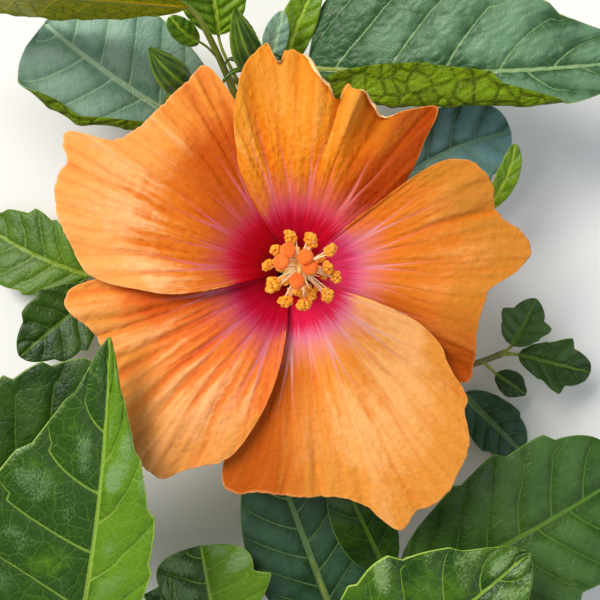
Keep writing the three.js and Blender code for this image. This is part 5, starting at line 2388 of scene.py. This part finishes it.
@dataclass
class Epicalyx:
    """The ring of narrow bracts between the stalk and the calyx."""

    disc_radius: float = 3.1
    bottom: float = 24.5
    top: float = 26.7
    bracts: int = 6
    length: float = 11
    half: float = 1.15
    rise: float = 5.5
    thickness: float = 0.4
    disc_grid: tuple[int, int] = (40, 12)
    disc_shade: float = 0.3
    rows: int = 26

    def build(self, finish: Material) -> None:
        """Makes the disc and its bracts.

        Args:
            finish: The material of the green parts.
        """
        middle = (self.bottom + self.top) / 2
        path = Path(((0, 0, self.bottom - 0.6), (0, 0, middle), (0, 0, self.top + 1.2)))
        disc = limb_sheet(path, self._radius, *self.disc_grid)
        disc.shades["rib"] = lambda u, v: self.disc_shade + 0 * u
        show(disc.mesh("epicalyx_disc"), [finish], ["epicalyx"])
        blades = [bract_sheet(self._bract(i), self.rows).mesh(f"bract_{i}") for i in range(self.bracts)]
        show(joined(blades, "epicalyx_bracts"), [finish], ["epicalyx"], self.thickness)

    def _radius(self, share: Values) -> Values:
        """The disc's radius, largest half way up."""
        return self.disc_radius * (0.8 + 0.2 * np.sin(math.pi * share))

    def _bract(self, index: int) -> Surface:
        """One bract, which runs out and curls up.

        Args:
            index: Its place in the ring.

        Returns:
            The bract's surface.
        """
        turn = index / self.bracts * 2 * math.pi

        def surface(u: Values, v: Values) -> Values:
            """The bract's places, u from side to side and v from foot to tip."""
            out = self.disc_radius - 1.2 + self.length * (v - 0.2 * v * v)
            across = (self.half * (1 - v) ** BRACT_TAPER + 0.1) * (1 - 2 * u)
            up = self.bottom + 0.9 + self.rise * v * v + 0.3 * (2 * u - 1) ** 2
            return spun(out, across, up, turn)

        return surface


@dataclass(frozen=True)
class Bud:
    """A closed bud: its place, its size and where its stalk starts."""

    name: str
    base: Point
    tip: Point
    radius: float
    bract_length: float
    at: float
    stalk: float
    bracts: int = 6

    @property
    def axis(self) -> Values:
        """Direction from the bud's foot to its tip."""
        return unit(np.array(self.tip) - np.array(self.base))


@dataclass
class Buds:
    """Two closed buds, each keeled and pointed, with bracts that curl over like claws."""

    buds: tuple[Bud, ...] = (
        Bud("bud_side", (-31, 51.5, 40), (-39.5, 61, 54), 4.6, 8, 0.955, 0.8),
        Bud("bud_tip", (-12, 57, 40), (-15.9, 71, 57), 4.3, 11, 0.975, 1.0),
    )
    profile: Spline = Spline(
        (
            (0, 0.02), (0.01, 0.35), (0.04, 0.6), (0.2, 0.9), (0.4, 1), (0.62, 0.82), (0.84, 0.42),
            (0.97, 0.09), (1, 0.01),
        )
    )
    sepals: int = 5
    keel: float = 0.7
    twist: float = 0.1
    rib: float = 0.6
    thickness: float = 0.4
    body_grid: tuple[int, int] = (90, 90)
    stalk_grid: tuple[int, int] = (14, 40)
    claw_rows: int = 30
    claw_half: float = 1.15
    claw_foot: float = 1.3
    claw_first: float = 20
    claw_last: float = 165

    def build(self, finish: Material) -> None:
        """Makes the buds.

        Args:
            finish: The material of the green parts.
        """
        skin = BUD_STALK.build()
        for bud in self.buds:
            self._body(bud, finish)
            claws = [bract_sheet(self._claw(bud, i), self.claw_rows) for i in range(bud.bracts)]
            blades = [claw.mesh(f"{bud.name}_{i}") for i, claw in enumerate(claws)]
            bracts = joined(blades, bud.name + "_bracts")
            show(bracts, [finish], [bud.name], self.thickness)
            stalk = limb_sheet(self._stalk(bud), lambda share, b=bud: b.stalk + 0 * share, *self.stalk_grid)
            show(stalk.mesh(bud.name + "_stalk"), [skin], [bud.name])

    def _body(self, bud: Bud, finish: Material) -> None:
        """The closed sepals of one bud.

        Args:
            bud: The bud.
            finish: The material of the green parts.
        """
        body = limb_sheet(
            Path((bud.base, bud.tip)),
            lambda share: self.profile(share) * bud.radius,
            *self.body_grid,
            lambda u, v: (self._ribs(u, v) - 0.5 * self.profile(v)) * self.keel,
            capped=False,
        )
        body.shades["rib"] = self._ribs
        show(body.mesh(bud.name + "_body"), [finish], [bud.name])

    def _ribs(self, u: Values, v: Values) -> Values:
        """1 along the keels where two sepals meet, less along the ribs between, else 0.

        Args:
            u: Shares of a turn round the bud.
            v: Shares of its length.

        Returns:
            The share of the keel's height.
        """
        turn = (u + self.twist * v) * self.sepals
        away = 2 * np.abs(turn - np.round(turn))
        return ((1 - away) ** 4 + self.rib * away**5) * smooth(0.02, 0.2, v)

    def _claw(self, bud: Bud, index: int) -> Surface:
        """One bract, which starts along the bud and curls over outwards.

        Args:
            bud: The bud that carries it.
            index: Its place in the ring.

        Returns:
            The bract's surface.
        """
        turn = (index + 0.5) / bud.bracts * 2 * math.pi
        first, last = math.radians(self.claw_first), math.radians(self.claw_last)
        bend = bud.bract_length / (last - first)
        spin = Vector((0, 0, 1)).rotation_difference(Vector(bud.axis))
        turned = np.array(spin.to_matrix()).T

        def surface(u: Values, v: Values) -> Values:
            """The bract's places, u from side to side and v from foot to tip."""
            angle = first + (last - first) * v
            out = self.claw_foot + bend * (math.cos(first) - np.cos(angle))
            across = (self.claw_half * (1 - v) ** BRACT_TAPER + 0.12) * (1 - 2 * u)
            trough = 0.35 * (2 * u - 1) ** 2 * (1 - v)
            up = 0.3 + bend * (np.sin(angle) - math.sin(first)) + trough
            return np.array(bud.base) + spun(out, across, up, turn) @ turned

        return surface

    @staticmethod
    def _stalk(bud: Bud) -> Path:
        """The bud's stalk from the stem into its foot.

        Args:
            bud: The bud.

        Returns:
            The stalk's middle line.
        """
        foot = STEM.path.at(np.array([bud.at]))[0]
        before, inside = np.array(bud.base) - bud.axis * 4, np.array(bud.base) + bud.axis
        return Path(swept((foot, (foot + before) / 2, before, inside), 10))


@dataclass(frozen=True)
class Softbox:
    """A square lamp; its place is in metres and its colour in linear light."""

    name: str
    place: Point
    side: float
    power: float
    colour: Point

    def light(self, target: Vector) -> None:
        """Puts the lamp up.

        Args:
            target: The place in metres that it looks at.
        """
        lamp = bpy.data.lights.new(self.name, "AREA")
        lamp.size = self.side
        lamp.energy = self.power
        lamp.color = self.colour
        box = bpy.data.objects.new(self.name, lamp)
        box.location = self.place
        box.rotation_euler = (target - Vector(self.place)).to_track_quat("-Z", "Y").to_euler()
        bpy.context.scene.collection.objects.link(box)


@dataclass
class Studio:
    """Floor, lights and camera."""

    camera_from_bloom: Point = (1.6, -7.8, 395)
    photo_side: float = 600
    focal_pixels: float = 1245.3
    sensor: float = 36.0
    floor_side: float = 6.0
    paper: Colour = (238, 236, 232)
    target: Point = (0, 0, 0.05)
    lamps: tuple[Softbox, ...] = (
        Softbox("key_light", (-1.0, 0.84, 1.56), 1.1, 46, (1.0, 0.97, 0.92)),
        Softbox("fill_light", (0.7, -0.4, 0.8), 0.9, 2.5, (0.9, 0.95, 1.0)),
    )
    sky: Colour = (206, 218, 232)
    sky_strength: float = 0.54

    def build(self) -> None:
        """Sets up the studio."""
        self._floor()
        for lamp in self.lamps:
            lamp.light(Vector(self.target))
        self._sky()
        self._camera()
        bpy.context.scene.view_settings.view_transform = "Standard"

    def _floor(self) -> None:
        """A plain pale floor under the branch."""
        block = bmesh.new()
        bmesh.ops.create_grid(block, x_segments=1, y_segments=1, size=self.floor_side / 2)
        mesh = settled(block, "floor", soft=False)
        mesh.materials.append(Bench("floor_paper").finish(self.paper, 0.9))
        floor = bpy.data.objects.new("floor", mesh)
        bpy.context.scene.collection.objects.link(floor)

    def _sky(self) -> None:
        """Soft pale light from all round."""
        world = bpy.data.worlds.new("studio")
        world.use_nodes = True
        ground = world.node_tree.nodes["Background"]
        ground.inputs["Color"].default_value = in_light(self.sky)
        ground.inputs["Strength"].default_value = self.sky_strength
        bpy.context.scene.world = world

    def _camera(self) -> None:
        """The photo's view: straight down on the bloom."""
        lens = bpy.data.cameras.new("camera")
        lens.sensor_width = self.sensor
        lens.lens = self.sensor * self.focal_pixels / self.photo_side
        camera = bpy.data.objects.new("camera", lens)
        camera.location = (Vector(self.camera_from_bloom) + Vector((*BLOOM_AXIS, 0))) * MM
        bpy.context.scene.collection.objects.link(camera)
        bpy.context.scene.camera = camera


def main() -> None:
    """Builds every piece of the branch and the studio round it."""
    logging.basicConfig(level=logging.INFO, format="%(name)s %(message)s")
    Studio().build()
    Branchwork().build()
    sepal = SepalFinish().build()
    Epicalyx().build(sepal)
    CalyxCup().build(sepal)
    Corolla().build()
    Stamens().build()
    Pistil().build()
    Foliage().build()
    Buds().build(sepal)


if __name__ == "__main__":
    main()
